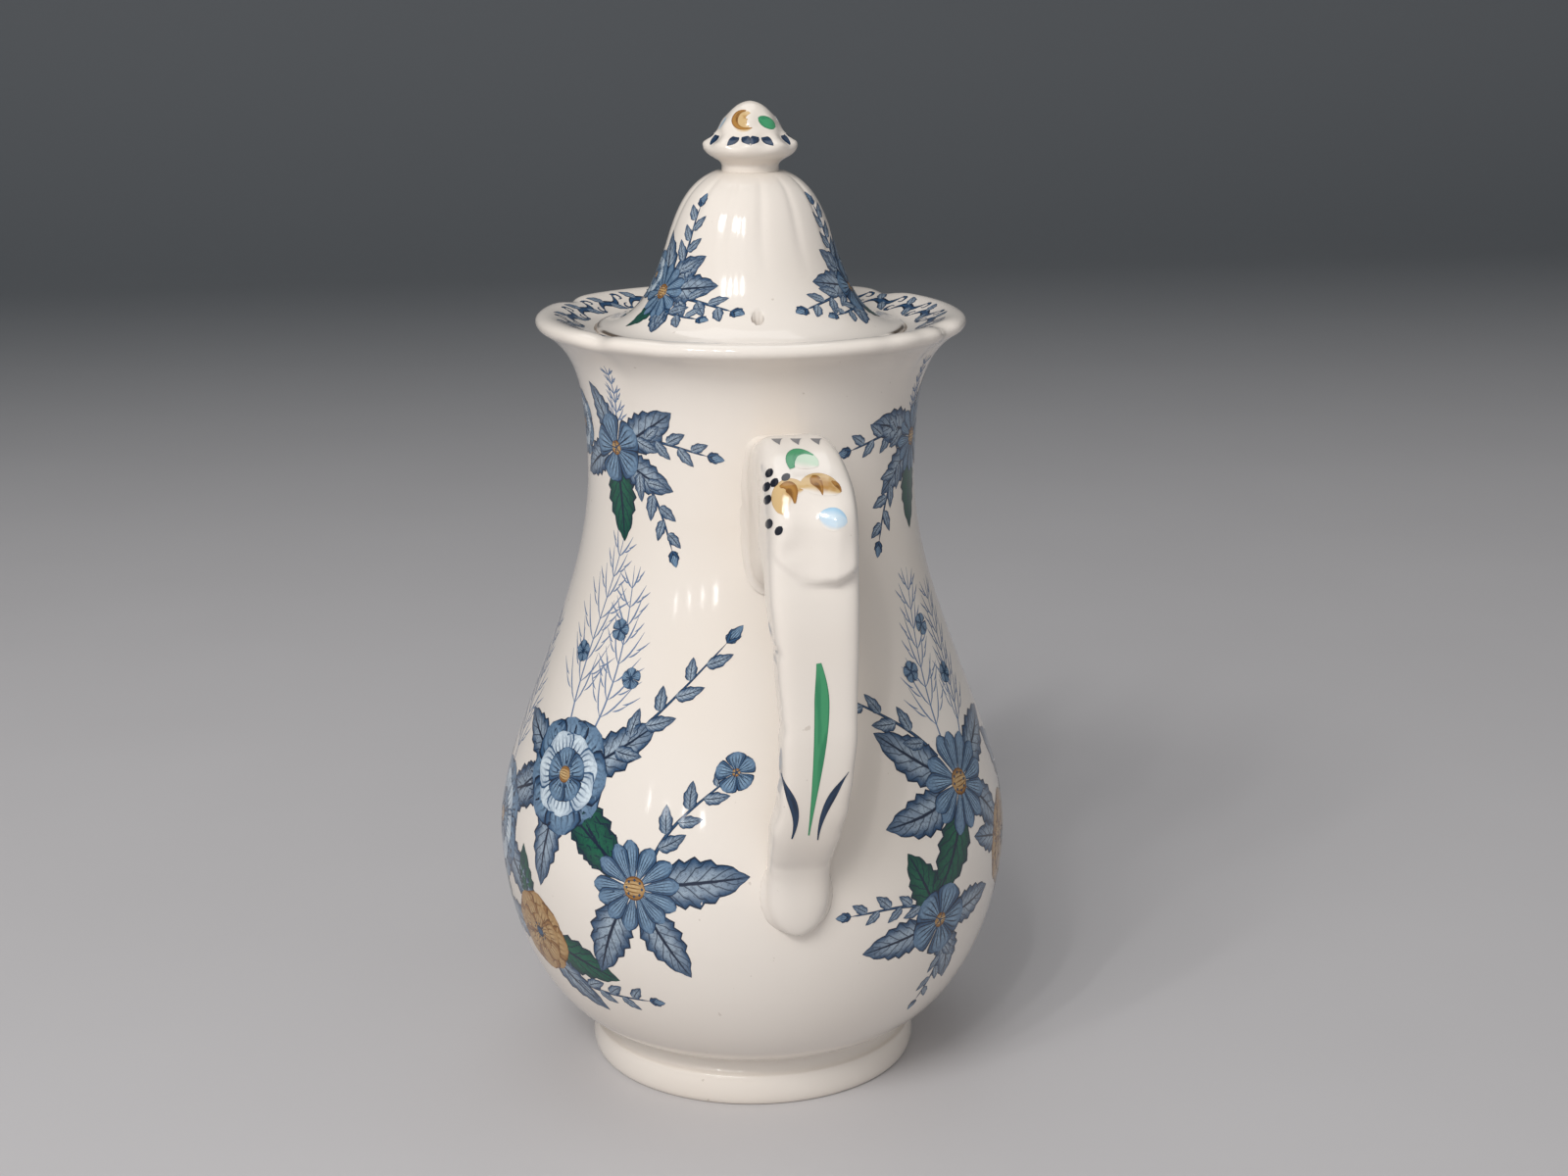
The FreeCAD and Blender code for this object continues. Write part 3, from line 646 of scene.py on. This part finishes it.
# dark, mid and light are tones; veins and hatching slant off the rib as an engraver cuts them
def ink(name, dark, mid, light, veins=0, slope=0.0, rib=0.0, edge=0.86, streaks=0.0, stipple=0.0, deepTip=0.0,
        wash=0.0, engraved=0):
    s = Shader(name)
    place = s.coords()
    along, across = s.motif()
    off = offMiddle(s, across)
    mottle = s.ramp(s.noise(place, inkGrain["mottle"], 3.0), 0.32, 0.68, 0.0, 0.40)
    deep = s.math("MAXIMUM", s.ramp(off, 0.15, 0.95), s.ramp(along, 0.40, 1.0, 0.0, deepTip))
    tone = s.mix(s.math("MAXIMUM", deep, mottle), inkTones[light], inkTones[mid])
    lines = s.ramp(off, edge, min(edge + 0.1, 1.0))
    if veins:
        slant = s.math("SUBTRACT", s.math("MULTIPLY", along, veins), s.math("MULTIPLY", off, slope))
        for times, low, high, weight in ((1.0, 0.74, 0.96, 0.9), (6.0, 0.45, 0.95, 0.38)):
            saw = offMiddle(s, s.math("FRACT", s.math("MULTIPLY", slant, times)))
            lines = s.math("MAXIMUM", lines, s.ramp(saw, low, high, 0.0, weight))
    if rib:
        lines = s.math("MAXIMUM", lines, s.ramp(off, rib, rib * 2.2, 1.0, 0.0))
    if engraved:  # fine cuts that run out from the root of a petal
        cut = offMiddle(s, s.math("FRACT", s.math("MULTIPLY", across, engraved)))
        cut = s.math("MULTIPLY", s.ramp(cut, 0.50, 0.90), s.ramp(along, 1.0, 0.50))
        lines = s.math("MAXIMUM", lines, cut)
    if streaks:
        comb = s.add("CombineXYZ", X=s.math("MULTIPLY", along, 2.2), Y=s.math("MULTIPLY", across, streaks))
        drift = s.add("Mapping", Vector=place, Scale=[inkGrain["streak"]] * 3)
        combed = s.add("VectorMath", i0=comb.outputs[0], i1=drift.outputs[0])
        hair = s.noise(combed.outputs[0], 1.0)
        lines = s.math("MAXIMUM", lines, s.ramp(hair, 0.50, 0.66, 0.0, 0.8))
    grain = s.math("MULTIPLY", s.ramp(s.noise(place, inkGrain["stipple"], 1.0), 0.52, 0.64), stipple)
    lines = s.math("MAXIMUM", lines, grain)
    tone = s.mix(lines, tone, inkTones[dark])
    if wash:  # thinned with water towards one side
        tone = s.mix(s.ramp(across, wash, 0.02), tone, glazeLook["cream"])
    s.links.new(tone, s.surface.inputs["Base Color"])
    glazeSkin(s, place)
    return s.material


inks = {
    "leaf": ink("blue_leaf_ink", "navy", "denim", "soft", veins=7, slope=2.0, rib=0.05, stipple=0.45,
                deepTip=0.85),
    "petal": ink("blue_petal_ink", "navy", "denim", "pale", edge=0.84, engraved=6, stipple=0.3, deepTip=0.55),
    "palePetal": ink("pale_petal_ink", "denim", "soft", "ice", edge=0.84, engraved=7, stipple=0.2),
    "line": ink("navy_line_ink", "navy", "denim", "denim", edge=0.5, stipple=0.4),
    "fine": ink("fine_line_ink", "denim", "slate", "slate", edge=0.98, stipple=0.2),
    "green": ink("green_leaf_ink", "navy", "moss", "fir", veins=6, slope=2.0, rib=0.05, stipple=0.4,
                 deepTip=0.8),
    "ochre": ink("ochre_ink", "brown", "umber", "honey", edge=0.82, engraved=6, stipple=0.25, deepTip=0.6),
    "greenBrush": ink("green_brush", "green", "grass", "grass", edge=0.80, streaks=2.0, stipple=0.05),
    "mintBrush": ink("mint_brush", "grass", "mint", "mint", edge=0.95, wash=0.45),
    "ochreBrush": ink("ochre_brush", "brown", "umber", "ochre", edge=0.93, streaks=2.0, stipple=0.05),
    "honeyBrush": ink("honey_brush", "ochre", "honey", "honey", edge=0.94, streaks=1.5, wash=0.40),
    "skyBrush": ink("sky_brush", "soft", "sky", "ice", edge=0.95, wash=0.30),
    "navyBrush": ink("navy_brush", "navy", "midnight", "midnight", edge=0.8, streaks=2.0, stipple=0.1),
    "sootBrush": ink("soot_brush", "soot", "soot", "soot", edge=0.6, stipple=0.1),
    "greyBrush": ink("grey_brush", "dusk", "dusk", "dusk", edge=0.96, stipple=0.1),
}
inkOrder = list(inks)
filmBase, filmStep = 0.035, 0.010  # millimetres that the ink stands off the glaze
castFrom, castReach = 4, 9  # millimetres: a ray starts so far off the surface and looks so far


def arcAt(points, arcs, z):
    for i, (a, b) in enumerate(zip(points, points[1:])):
        if min(a[1], b[1]) <= z <= max(a[1], b[1]) and a[1] != b[1]:
            return arcs[i] + (arcs[i + 1] - arcs[i]) * (z - a[1]) / (b[1] - a[1])
    return arcs[-1]


def rotated(x, y, heading):
    a = math.radians(heading)
    return Vector((x * math.cos(a) - y * math.sin(a), x * math.sin(a) + y * math.cos(a)))


def headingOf(way):
    return math.degrees(math.atan2(way.y, way.x))


# a layer of print that lies on one turned surface
class Print:
    def __init__(self, tree, points):
        self.tree = tree
        self.points = points
        self.arcs = profileArcs(points)
        self.bm = bmesh.new()
        self.bm.loops.layers.uv.new("motif")
        self.aim(0, 0)

    def aim(self, turn, arc, flip=1):
        self.turn, self.arc, self.flip = turn, arc, flip

    def aimAt(self, turn, z, flip=1):
        self.aim(turn, arcAt(self.points, self.arcs, z), flip)

    def wrap(self, spot, lift):
        r, z, outR, outZ = alongProfile(self.points, self.arcs, self.arc + spot.y)
        way = dirAt(self.turn - self.flip * math.degrees(spot.x / r))
        out = (way * outR + up * outZ).normalized()
        co = (way * r + up * z) * mm
        hit = self.tree.ray_cast(co + out * castFrom * mm, -out, castReach * mm)[0]
        return (hit or co) + out * lift * mm

    def stroke(self, inkName, poles, half, along, across, film=0):
        lift = filmBase + filmStep * film
        made = bmesh.ops.create_grid(self.bm, x_segments=along, y_segments=across, size=1, calc_uvs=True)
        grid = made["verts"]
        line = [tuple(p) for p in poles]
        for v in grid:
            t, s = (v.co.x + 1) / 2, v.co.y
            spot, way = lineAt(line, t)
            side = Vector((-way.y, way.x))
            v.co = self.wrap(spot + side * s * half(t), lift)
        faces = list({f for v in grid for f in v.link_faces})
        for f in faces:
            f.material_index = inkOrder.index(inkName)
            f.smooth = True
        if self.flip < 0:
            bmesh.ops.reverse_faces(self.bm, faces=faces)

    def arcPoles(self, at, heading, length, curl):
        at = Vector(at)
        return [at, at + rotated(length / 3, 0, heading), at + rotated(length * 2 / 3, 0, heading + curl / 2),
                at + rotated(length, 0, heading + curl * 0.6)]

    def line(self, at, heading, length, curl, wide, inkName="line", film=0, along=14):
        def half(t):
            return wide / 2 * (1 - 0.65 * t) * min(1, 12 * (1.02 - t))

        poles = self.arcPoles(at, heading, length, curl)
        self.stroke(inkName, poles, half, along, 1, film)
        return [tuple(p) for p in poles]

    def leaf(self, at, heading, length, width, curl, inkName, film, teeth):
        def half(t):
            saw = 1 + 0.30 * (((t * teeth) % 1) - 0.5) * smoothStep(0.05, 0.3, t)
            return width / 2 * math.sin(math.pi * t ** 0.72) ** 0.9 * saw + 0.02

        poles = self.arcPoles(at, heading, length, curl)
        self.stroke(inkName, poles, half, teeth * 3, 2 if width < 7 else 4, film)

    def blade(self, at, heading, length, width, inkName, film, curl=0):
        def half(t):
            return width / 2 * math.sin(math.pi * min(1, t ** 0.7 + 0.02)) + 0.03

        self.stroke(inkName, self.arcPoles(at, heading, length, curl), half, 5, 1, film)

    def disc(self, at, radius, inkName, film):
        def half(t):
            return radius * math.sqrt(max(1 - (2 * t - 1) ** 2, 0)) + 0.01

        at = Vector(at)
        poles = [at + Vector((radius * (i * 2 / 3 - 1), 0)) for i in range(4)]
        self.stroke(inkName, poles, half, 8 if radius > 0.6 else 4, 4 if radius > 1.5 else 2, film)

    def petals(self, at, radius, count, width, inkName, film, start, root=0.12):
        def half(t):
            swell = max(math.sin(math.pi * min(t ** 1.7 * 0.86 + 0.07, 1)), 0.0)
            return width / 2 * swell * (1 + 0.07 * math.sin(9 * t)) + 0.02

        for i in range(count):
            heading = start + 360 * i / count + random.uniform(-4, 4)
            over = 1 if i == count - 1 and i % 3 == 0 else i % 3  # no petal lies level with its neighbours
            foot = Vector(at) + rotated(radius * root, 0, heading)
            length = radius * (1 - root) * random.uniform(0.93, 1.04)
            poles = self.arcPoles(foot, heading, length, random.uniform(-9, 9))
            self.stroke(inkName, poles, half, 8, 2 if width < 6 else 4, film + over)

    def rose(self, at, radius, inkName="petal", heart="ochre", inner="palePetal"):
        spin = random.uniform(0, 60)
        self.petals(at, radius, 8, radius * 0.95, inkName, 3, spin)
        self.petals(at, radius * 0.74, 7, radius * 0.74, inner, 6, spin + 20)
        self.petals(at, radius * 0.46, 5, radius * 0.52, inkName, 9, spin + 45)
        self.disc(at, radius * 0.14, heart, 12)
        for i in range(9):
            self.disc(Vector(at) + rotated(radius * 0.20, 0, 40 * i + spin), radius * 0.028, "line", 13)

    def daisy(self, at, radius):
        spin = random.uniform(0, 60)
        self.petals(at, radius, 13, radius * 0.42, "petal", 4, spin, 0.2)
        self.disc(at, radius * 0.26, "ochre", 8)
        for i in range(8):
            self.disc(Vector(at) + rotated(radius * 0.18, 0, 45 * i), radius * 0.03, "line", 9)

    def five(self, at, radius, heart="ochre"):
        self.petals(at, radius, 5, radius * 1.0, "petal", 4, random.uniform(0, 72))
        self.disc(at, radius * 0.2, heart, 8)
        for i in range(5):
            self.line(at, 72 * i + 36, radius * 0.55, 0, 0.35, "line", 9, 4)

    def fern(self, at, heading, length, curl, pairs=8):
        poles = self.line(at, heading, length, curl, 0.6, "fine")
        for i in range(pairs):
            t = 0.14 + 0.84 * i / pairs
            spot, way = lineAt(poles, t)
            lean = headingOf(way)
            size = length * 0.30 * (1 - 0.55 * t) * random.uniform(0.85, 1.1)
            for side in (-1, 1):
                out = lean + side * random.uniform(36, 58)
                self.blade(spot, out, size, 0.42, "fine", 0, side * -34)
                for share in (0.32, 0.58):
                    fork = spot + rotated(size * share, 0, out - side * 10 * share)
                    self.blade(fork, out + side * 24, size * 0.40, 0.36, "fine", 0, side * -40)

    def sprig(self, at, heading, length, curl, leaves, size, tip="bud"):
        poles = self.line(at, heading, length, curl, 1.1)
        for i in range(leaves):
            t = 0.16 + 0.8 * i / leaves
            spot, way = lineAt(poles, t)
            lean = headingOf(way)
            side = 1 if i % 2 else -1
            long = size * (1 - 0.35 * t) * random.uniform(0.9, 1.12)
            self.leaf(spot, lean + side * random.uniform(38, 58), long, long * 0.52, side * -18, "leaf", 2, 3)
        spot, way = lineAt(poles, 1)
        lean = headingOf(way)
        if tip == "bud":
            self.leaf(spot, lean, size * 0.62, size * 0.42, 0, "petal", 2, 3)
            for side in (-28, 28):
                self.blade(spot, lean + side, size * 0.42, 0.9, "line", 3)
        else:
            self.five(spot, size * 0.62)

    def finish(self, name, body):
        bmesh.ops.solidify(self.bm, geom=self.bm.faces, thickness=filmBase * 0.5 * mm)
        piece = makePiece(self.bm, name, [inks[key] for key in inkOrder], body, sharp=70)
        print(name + ":", len(piece.data.polygons), "faces")


# flower heads sit on a fan of leaves: (heading, length) of each, and the green ones
def fan(p, root, leaves, green, plumpness=0.5):
    for i, (heading, long) in enumerate(leaves):
        inkName = "green" if heading in green else "leaf"
        film = 1 + 0.3 * (i % 3)
        p.leaf(rotated(root, 0, heading), heading, long, long * plumpness, random.uniform(-22, 22), inkName,
               film, 4 if long < 14 else 6)


# one quarter of the belly's print, drawn for the quarter left of the handle
def sprayA(p, aim):
    aim(60, 88)
    fan(p, 8, ((205, 23), (318, 25), (28, 22), (160, 20), (262, 22)), (318,))
    p.fern((-3, 10), 100, 52, -26)
    p.fern((5, 10), 70, 44, 30)
    for spot in ((-6, 30), (6, 38), (13, 27)):
        p.five(spot, 2.8, "line")
    p.sprig((9, 5), 36, 42, 26, 7, 8.5)
    p.rose((0, 0), 15)
    aim(36, 66)
    fan(p, 6, ((12, 23), (140, 21), (238, 22), (300, 20)), (140,), 0.55)
    p.sprig((4, 6), 78, 30, -42, 6, 8.0, tip="five")
    p.daisy((0, 0), 11.5)
    aim(67, 45)
    fan(p, 6, ((352, 22), (310, 20), (190, 20), (110, 17)), (352, 110))
    p.sprig((8, -9), -24, 26, 34, 6, 7.0)
    p.rose((0, 0), 11.5, "ochre", "line", "ochre")


def sprayB(p, aim):
    aim(46, 84)
    fan(p, 7, ((30, 23), (150, 23), (215, 20), (292, 25), (340, 22)), (292,), 0.52)
    p.fern((2, 9), 82, 46, 24)
    p.fern((-6, 8), 114, 42, -24)
    for spot in ((6, 30), (-9, 26), (-4, 40)):
        p.five(spot, 2.8, "line")
    p.sprig((6, 8), 58, 36, -30, 6, 8.0)
    p.daisy((0, 0), 13)
    aim(68, 62)
    fan(p, 6, ((20, 18), (200, 20), (250, 18)), (250,))
    p.rose((0, 0), 12.5, "ochre", "line", "ochre")
    aim(35, 52)
    fan(p, 5, ((350, 19), (60, 18), (180, 18), (240, 17)), (60,), 0.55)
    p.sprig((-3, -5), 262, 20, 30, 5, 6.0)
    p.sprig((4, 4), 32, 24, -40, 6, 6.5)
    p.five((0, 0), 10)


def neckSpray(p, aim, kind):
    aim(62, 167)
    fan(p, 4, ((25, 18), (200, 16), (275, 19), (325, 16), (120, 14)), (275,), 0.56)
    p.sprig((4, 2), 24, 23, -45, 6, 7.0)
    p.sprig((5, -3), -26, 24, -50, 6, 7.0)
    p.fern((0, 4), 70, 18, 20, 6)
    (p.five if kind else p.daisy)((0, 0), 9)


def lidSpray(p, aim, kind):
    aim(70, 203)
    fan(p, 3, ((12, 14), (50, 12), (100, 13), (170, 12), (250, 10), (305, 11)), (250,), 0.58)
    p.sprig((3, 3), 66, 19, 35, 6, 6.4)
    p.sprig((4, -1), 8, 19, -25, 5, 6.4)
    p.sprig((2, -3), -36, 14, 40, 4, 5.6)
    (p.daisy if kind else p.five)((0, 0), 7.5)


quarters = [(1, 0), (-1, 180), (-1, 0), (1, -180)]  # flip, and the turn that it starts from


def aimer(p, quarter):
    flip, start = quarters[quarter]
    return lambda turn, z: p.aimAt(start + flip * turn, z, flip)


potPrint = Print(potTree, potProfile)
for quarter in range(4):
    aim = aimer(potPrint, quarter)
    (sprayA if quarter in (0, 3) else sprayB)(potPrint, aim)
    neckSpray(potPrint, aim, quarter in (0, 3))
for side in (90, -90):  # the middle of each side
    potPrint.aimAt(side, 68)
    fan(potPrint, 9, ((40, 24), (140, 24), (205, 24), (335, 24), (270, 24)), (270,))
    potPrint.rose((0, 0), 16)
    potPrint.fern((0, 12), 90, 44, 8)
    potPrint.aimAt(side, 170)
    potPrint.rose((0, 0), 8.5)
potPrint.finish("pot_print", "pot")


# half widths of the rim's scrolls
def scrollBody(t):
    return 1.25 * math.sin(math.pi * t) + 0.15


def scrollEnd(t):
    return 0.45 * (1 - t) + 0.15


borderSize = dict(count=24, belowSeat=11.6)
rimPrint = Print(potTree, potProfile)
for i in range(borderSize["count"]):
    rimPrint.aim(360 / borderSize["count"] * i, rimPrint.arcs[-1] - borderSize["belowSeat"])
    rimPrint.stroke("line", [(-5.0, 2.0), (-1.6, 11.0), (1.4, 0.2), (5.0, 8.4)], scrollBody, 18, 2)
    rimPrint.stroke("line", [(5.0, 8.4), (7.0, 10.2), (7.4, 5.6), (5.4, 6.4)], scrollEnd, 10, 1)
    rimPrint.stroke("line", [(-5.0, 2.0), (-7.0, 0.4), (-7.4, 5.0), (-5.4, 4.2)], scrollEnd, 10, 1)
    rimPrint.leaf((1.0, 4.6), 300, 5.0, 2.8, 20, "leaf", 1, 3)
    rimPrint.leaf((-0.6, 5.6), 120, 5.0, 2.8, 20, "leaf", 1, 3)
rimPrint.finish("rim_border_print", "pot")

lidPrint = Print(lidTree, lidProfile)
for quarter in range(4):
    lidSpray(lidPrint, aimer(lidPrint, quarter), quarter in (0, 3))
for side in (90, -90):
    lidPrint.aimAt(side, 206)
    lidPrint.rose((0, 0), 6.5)
lidPrint.finish("lid_print", "lid")


# paint dabbed on from one side: across and up in millimetres from a middle spot
class Dabs(Print):
    def __init__(self, tree, middle, turn, climb):
        super().__init__(tree, [])
        self.middle = Vector(middle) * mm
        a = math.radians(climb)
        self.toward = (dirAt(turn) * math.cos(a) + up * math.sin(a)).normalized()
        self.right = up.cross(self.toward).normalized()
        self.rise = self.toward.cross(self.right)

    def wrap(self, spot, lift):
        start = self.middle + (self.right * spot.x + self.rise * spot.y) * mm + self.toward * 0.1
        hit, normal = self.tree.ray_cast(start, -self.toward)[:2]
        while hit is None:  # past the edge: slide down on to it
            start -= self.rise * 0.0002
            hit, normal = self.tree.ray_cast(start, -self.toward)[:2]
        return hit + normal * (lift + 0.03) * mm


def plump(width):  # half width of a round dab
    def half(t):
        return width / 2 * math.sin(math.pi * t) ** 0.55 + 0.02
    return half


def brushed(width, heavy, start=-0.02):  # a stroke that swells and lifts off thin
    def half(t):
        return width / 2 * (smoothStep(start, heavy, t) * smoothStep(1.15, heavy, t)) + 0.05
    return half


def armWedge(t):
    return 1.3 * (1 - t) + 0.05


def knobWedge(t):
    return 1.1 * math.sin(math.pi * (0.22 + 0.78 * t)) ** 0.8 + 0.03


# the head of the handle
handlePaint = Dabs(handleTree, (-81, 4.0, 168.6), 10.3, 15)
dab = handlePaint.stroke
dab("mintBrush", [(-1.9, 6.6), (-0.5, 7.6), (2.2, 7.3), (4.5, 5.6)], plump(4.4), 14, 6)
dab("greenBrush", [(-1.4, 5.0), (-2.9, 8.9), (0.4, 10.0), (3.4, 8.2)], brushed(2.3, 0.3, -0.3), 14, 4, 2)
dab("honeyBrush", [(-3.5, -5.6), (-4.5, -1.2), (-2.2, 1.0), (1.2, 0.2)], plump(5.8), 20, 12)
dab("honeyBrush", [(0.2, 0.4), (3.0, 2.4), (6.2, 1.2), (9.2, -0.6)], plump(5.0), 20, 10, 1)
dab("ochreBrush", [(-4.2, 0.6), (-2.6, 1.6), (-1.0, 0.6), (-1.0, -3.0)], brushed(2.6, 0.55, -0.2), 14, 4, 2)
dab("ochreBrush", [(2.7, 3.0), (3.6, 2.2), (4.8, 1.2), (5.2, -1.2)], brushed(2.4, 0.3, -0.2), 12, 4, 2)
dab("ochreBrush", [(7.2, 2.0), (8.2, 1.4), (9.0, 0.6), (9.3, -0.4)], brushed(1.0, 0.4, -0.2), 8, 3, 2)
dab("skyBrush", [(4.3, -5.4), (6.3, -6.4), (8.6, -6.9), (10.5, -7.2)], plump(5.2), 16, 10)
# across, up and lean of each dark dot
dots = [(-6.5, 4.0, 62), (-7.1, 0.9, 68), (-5.4, 1.7, 56), (-2.9, 2.9, 38), (-6.9, -2.0, 66),
        (-6.6, -7.4, 80), (-4.5, -9.0, 58)]
for x, y, lean in dots:
    reach = rotated(1.15, 0, lean)
    spot = Vector((x, y))
    dab("sootBrush", [spot - reach, spot - reach / 3, spot + reach / 3, spot + reach], plump(1.6), 8, 4, 3)
for x in (-4.6, -0.3, 4.3):  # wedges on top of the arm
    dab("greyBrush", [(x, 12.4), (x, 12.0), (x + 0.2, 11.5), (x + 0.5, 10.8)], armWedge, 8, 4)
# the strap
handlePaint.middle = Vector((-81, 2.6, 104)) * mm
dab("greenBrush", [(3.0, 23.9), (5.0, 12.0), (2.6, -2.0), (1.0, -16.2)], brushed(3.3, 0.25, -0.15), 30, 4)
dab("navyBrush", [(-5.3, -1.4), (-4.2, -6.6), (-0.4, -9.6), (-2.9, -17.0)], brushed(1.9, 0.5), 18, 4)
dab("navyBrush", [(10.0, -1.1), (7.0, -5.6), (3.6, -9.8), (3.1, -17.4)], brushed(1.6, 0.45), 18, 4)
handlePaint.finish("handle_brushwork", "pot")

knobPaint = Print(knobTree, knobProfile)
dab = knobPaint.stroke
for turn in (28, -152):
    knobPaint.aimAt(turn, 243.6)
    dab("honeyBrush", [(1.8, 2.2), (-2.0, 3.0), (-1.6, -3.0), (2.6, -2.2)], plump(4.4), 16, 6)
    dab("ochreBrush", [(0.4, 3.0), (-3.4, 3.0), (-3.0, -3.4), (2.8, -2.0)], brushed(1.7, 0.4, -0.2), 16, 4, 2)
    knobPaint.aimAt(turn - 54, 243.0)
    dab("greenBrush", [(-1.8, 1.6), (-0.8, 0.8), (1.0, -0.6), (2.2, -1.4)], plump(3.4), 10, 6)
    knobPaint.aimAt(turn + 57, 242.6)
    dab("skyBrush", [(-0.8, 1.8), (-0.4, 0.6), (0.2, -0.6), (0.8, -1.6)], plump(3.0), 10, 6)
wedgeLeans = [(-1, 1), (0.8,), (-0.8,)]
for i in range(12):  # wedges round the slope of the saucer
    knobPaint.aimAt(30 * i + 10, 238.9)
    for lean in wedgeLeans[i % 3]:
        poles = [(lean * 1.3, 1.5), (lean * 1.25, 0.7), (lean * 0.75, -0.5), (lean * 0.1, -1.8)]
        dab("navyBrush", poles, knobWedge, 8, 4, i % 2)
knobPaint.finish("knob_brushwork", "lid")


# camera and stage
cameraSize = dict(place=(-0.5963, 0.1084, 0.2873), pitch=15.02, heading=-11.09, lens=56.0, sensor=36)
eye = bpy.data.objects.new("camera", bpy.data.cameras.new("camera"))
bpy.context.collection.objects.link(eye)
eye.data.lens = cameraSize["lens"]
eye.data.sensor_width = cameraSize["sensor"]
eye.location = cameraSize["place"]
eye.rotation_euler = (math.radians(90 - cameraSize["pitch"]), 0, math.radians(cameraSize["heading"] - 90))
bpy.context.scene.camera = eye

# a table that sweeps up into a plain wall, in metres
sweepSize = dict(near=-3.0, bend=1.5, round=0.6, high=3.0, wide=7.0, steps=12)


def sweepLine():
    w = sweepSize
    turns = [math.radians(90 * i / w["steps"]) for i in range(1, w["steps"] + 1)]
    curve = [(w["bend"] + w["round"] * math.sin(a), w["round"] * (1 - math.cos(a))) for a in turns]
    return [(w["near"], 0), (w["bend"], 0)] + curve + [(w["bend"] + w["round"], w["high"])]


sweep = bmesh.new()
verts = [sweep.verts.new((x, -sweepSize["wide"] / 2, z)) for x, z in sweepLine()]
edges = [sweep.edges.new(pair) for pair in zip(verts, verts[1:])]
grown = bmesh.ops.extrude_edge_only(sweep, edges=edges)["geom"]
farSide = [g for g in grown if isinstance(g, bmesh.types.BMVert)]
bmesh.ops.translate(sweep, vec=(0, sweepSize["wide"], 0), verts=farSide)
bmesh.ops.recalc_face_normals(sweep, faces=sweep.faces)
floorMesh = bpy.data.meshes.new("floor")
sweep.to_mesh(floorMesh)
floorMesh.shade_smooth()
floor = bpy.data.objects.new("floor", floorMesh)
bpy.context.collection.objects.link(floor)
floorLook = dict(tone=(0.54, 0.52, 0.52, 1), lighter=(0.57, 0.55, 0.55, 1), wall=(0.16, 0.17, 0.18, 1),
                 rough=0.5)
floorPaint = Shader("floor_paint")
place = floorPaint.coords()
far = floorPaint.ramp(floorPaint.add("SeparateXYZ", Vector=place).outputs[0], 0.25, 1.7)
paint = floorPaint.mix(floorPaint.noise(place, 9.0), floorLook["tone"], floorLook["lighter"])
paint = floorPaint.mix(far, paint, floorLook["wall"])
floorPaint.links.new(paint, floorPaint.surface.inputs["Base Color"])
floorPaint.surface.inputs["Roughness"].default_value = floorLook["rough"]
floorMesh.materials.append(floorPaint.material)


# lamps stand round the pot: turn and climb in degrees, distance and size in metres
lampAim = 0.12


def addLamp(name, turn, climb, away, size, power, glossy=True):
    lamp = bpy.data.lights.new(name, "AREA")
    lamp.shape = "RECTANGLE"
    lamp.size, lamp.size_y = size
    lamp.energy = power
    lampObject = bpy.data.objects.new(name, lamp)
    way = dirAt(turn) * math.cos(math.radians(climb)) + up * math.sin(math.radians(climb))
    lampObject.location = way * away + up * lampAim
    lampObject.rotation_euler = way.to_track_quat("Z", "Y").to_euler()
    lampObject.visible_glossy = glossy
    lampObject.visible_camera = False
    bpy.context.collection.objects.link(lampObject)


# four tubes side by side, high and low, for the reflections
highTubes = dict(turn=34, climb=40, size=(0.032, 0.23), powers=(1.7, 1.7, 1.7, 1.7))
lowTubes = dict(turn=46, climb=11.5, size=(0.028, 0.07), powers=(0.20, 0.09, 0.08, 0.08))
tubeGap, tubeAway = 8.5, 1.5
for i in range(4):
    for name, tubes in (("tube_high_", highTubes), ("tube_low_", lowTubes)):
        addLamp(name + str(i), tubes["turn"] + tubeGap * (i - 1.5), tubes["climb"], tubeAway, tubes["size"],
                tubes["powers"][i])
# turn, climb, distance, side, power, and whether the glaze mirrors it
softLamps = dict(soft_key=(36, 36, 1.3, 0.7, 7.2, False), front=(8, 12, 1.3, 0.7, 1.3, False),
                 fill=(-75, 30, 1.5, 0.9, 0.5, False), top=(180, 70, 1.5, 0.9, 3.0, True))
for name, (turn, climb, away, side, power, glossy) in softLamps.items():
    addLamp(name, turn, climb, away, (side, side), power, glossy)
world = bpy.data.worlds.new("studio")
bpy.context.scene.world = world
world.use_nodes = True
room = world.node_tree.nodes["Background"]
room.inputs["Color"].default_value = (0.80, 0.82, 0.85, 1)
room.inputs["Strength"].default_value = 0.42
bpy.context.scene.view_settings.view_transform = "Standard"
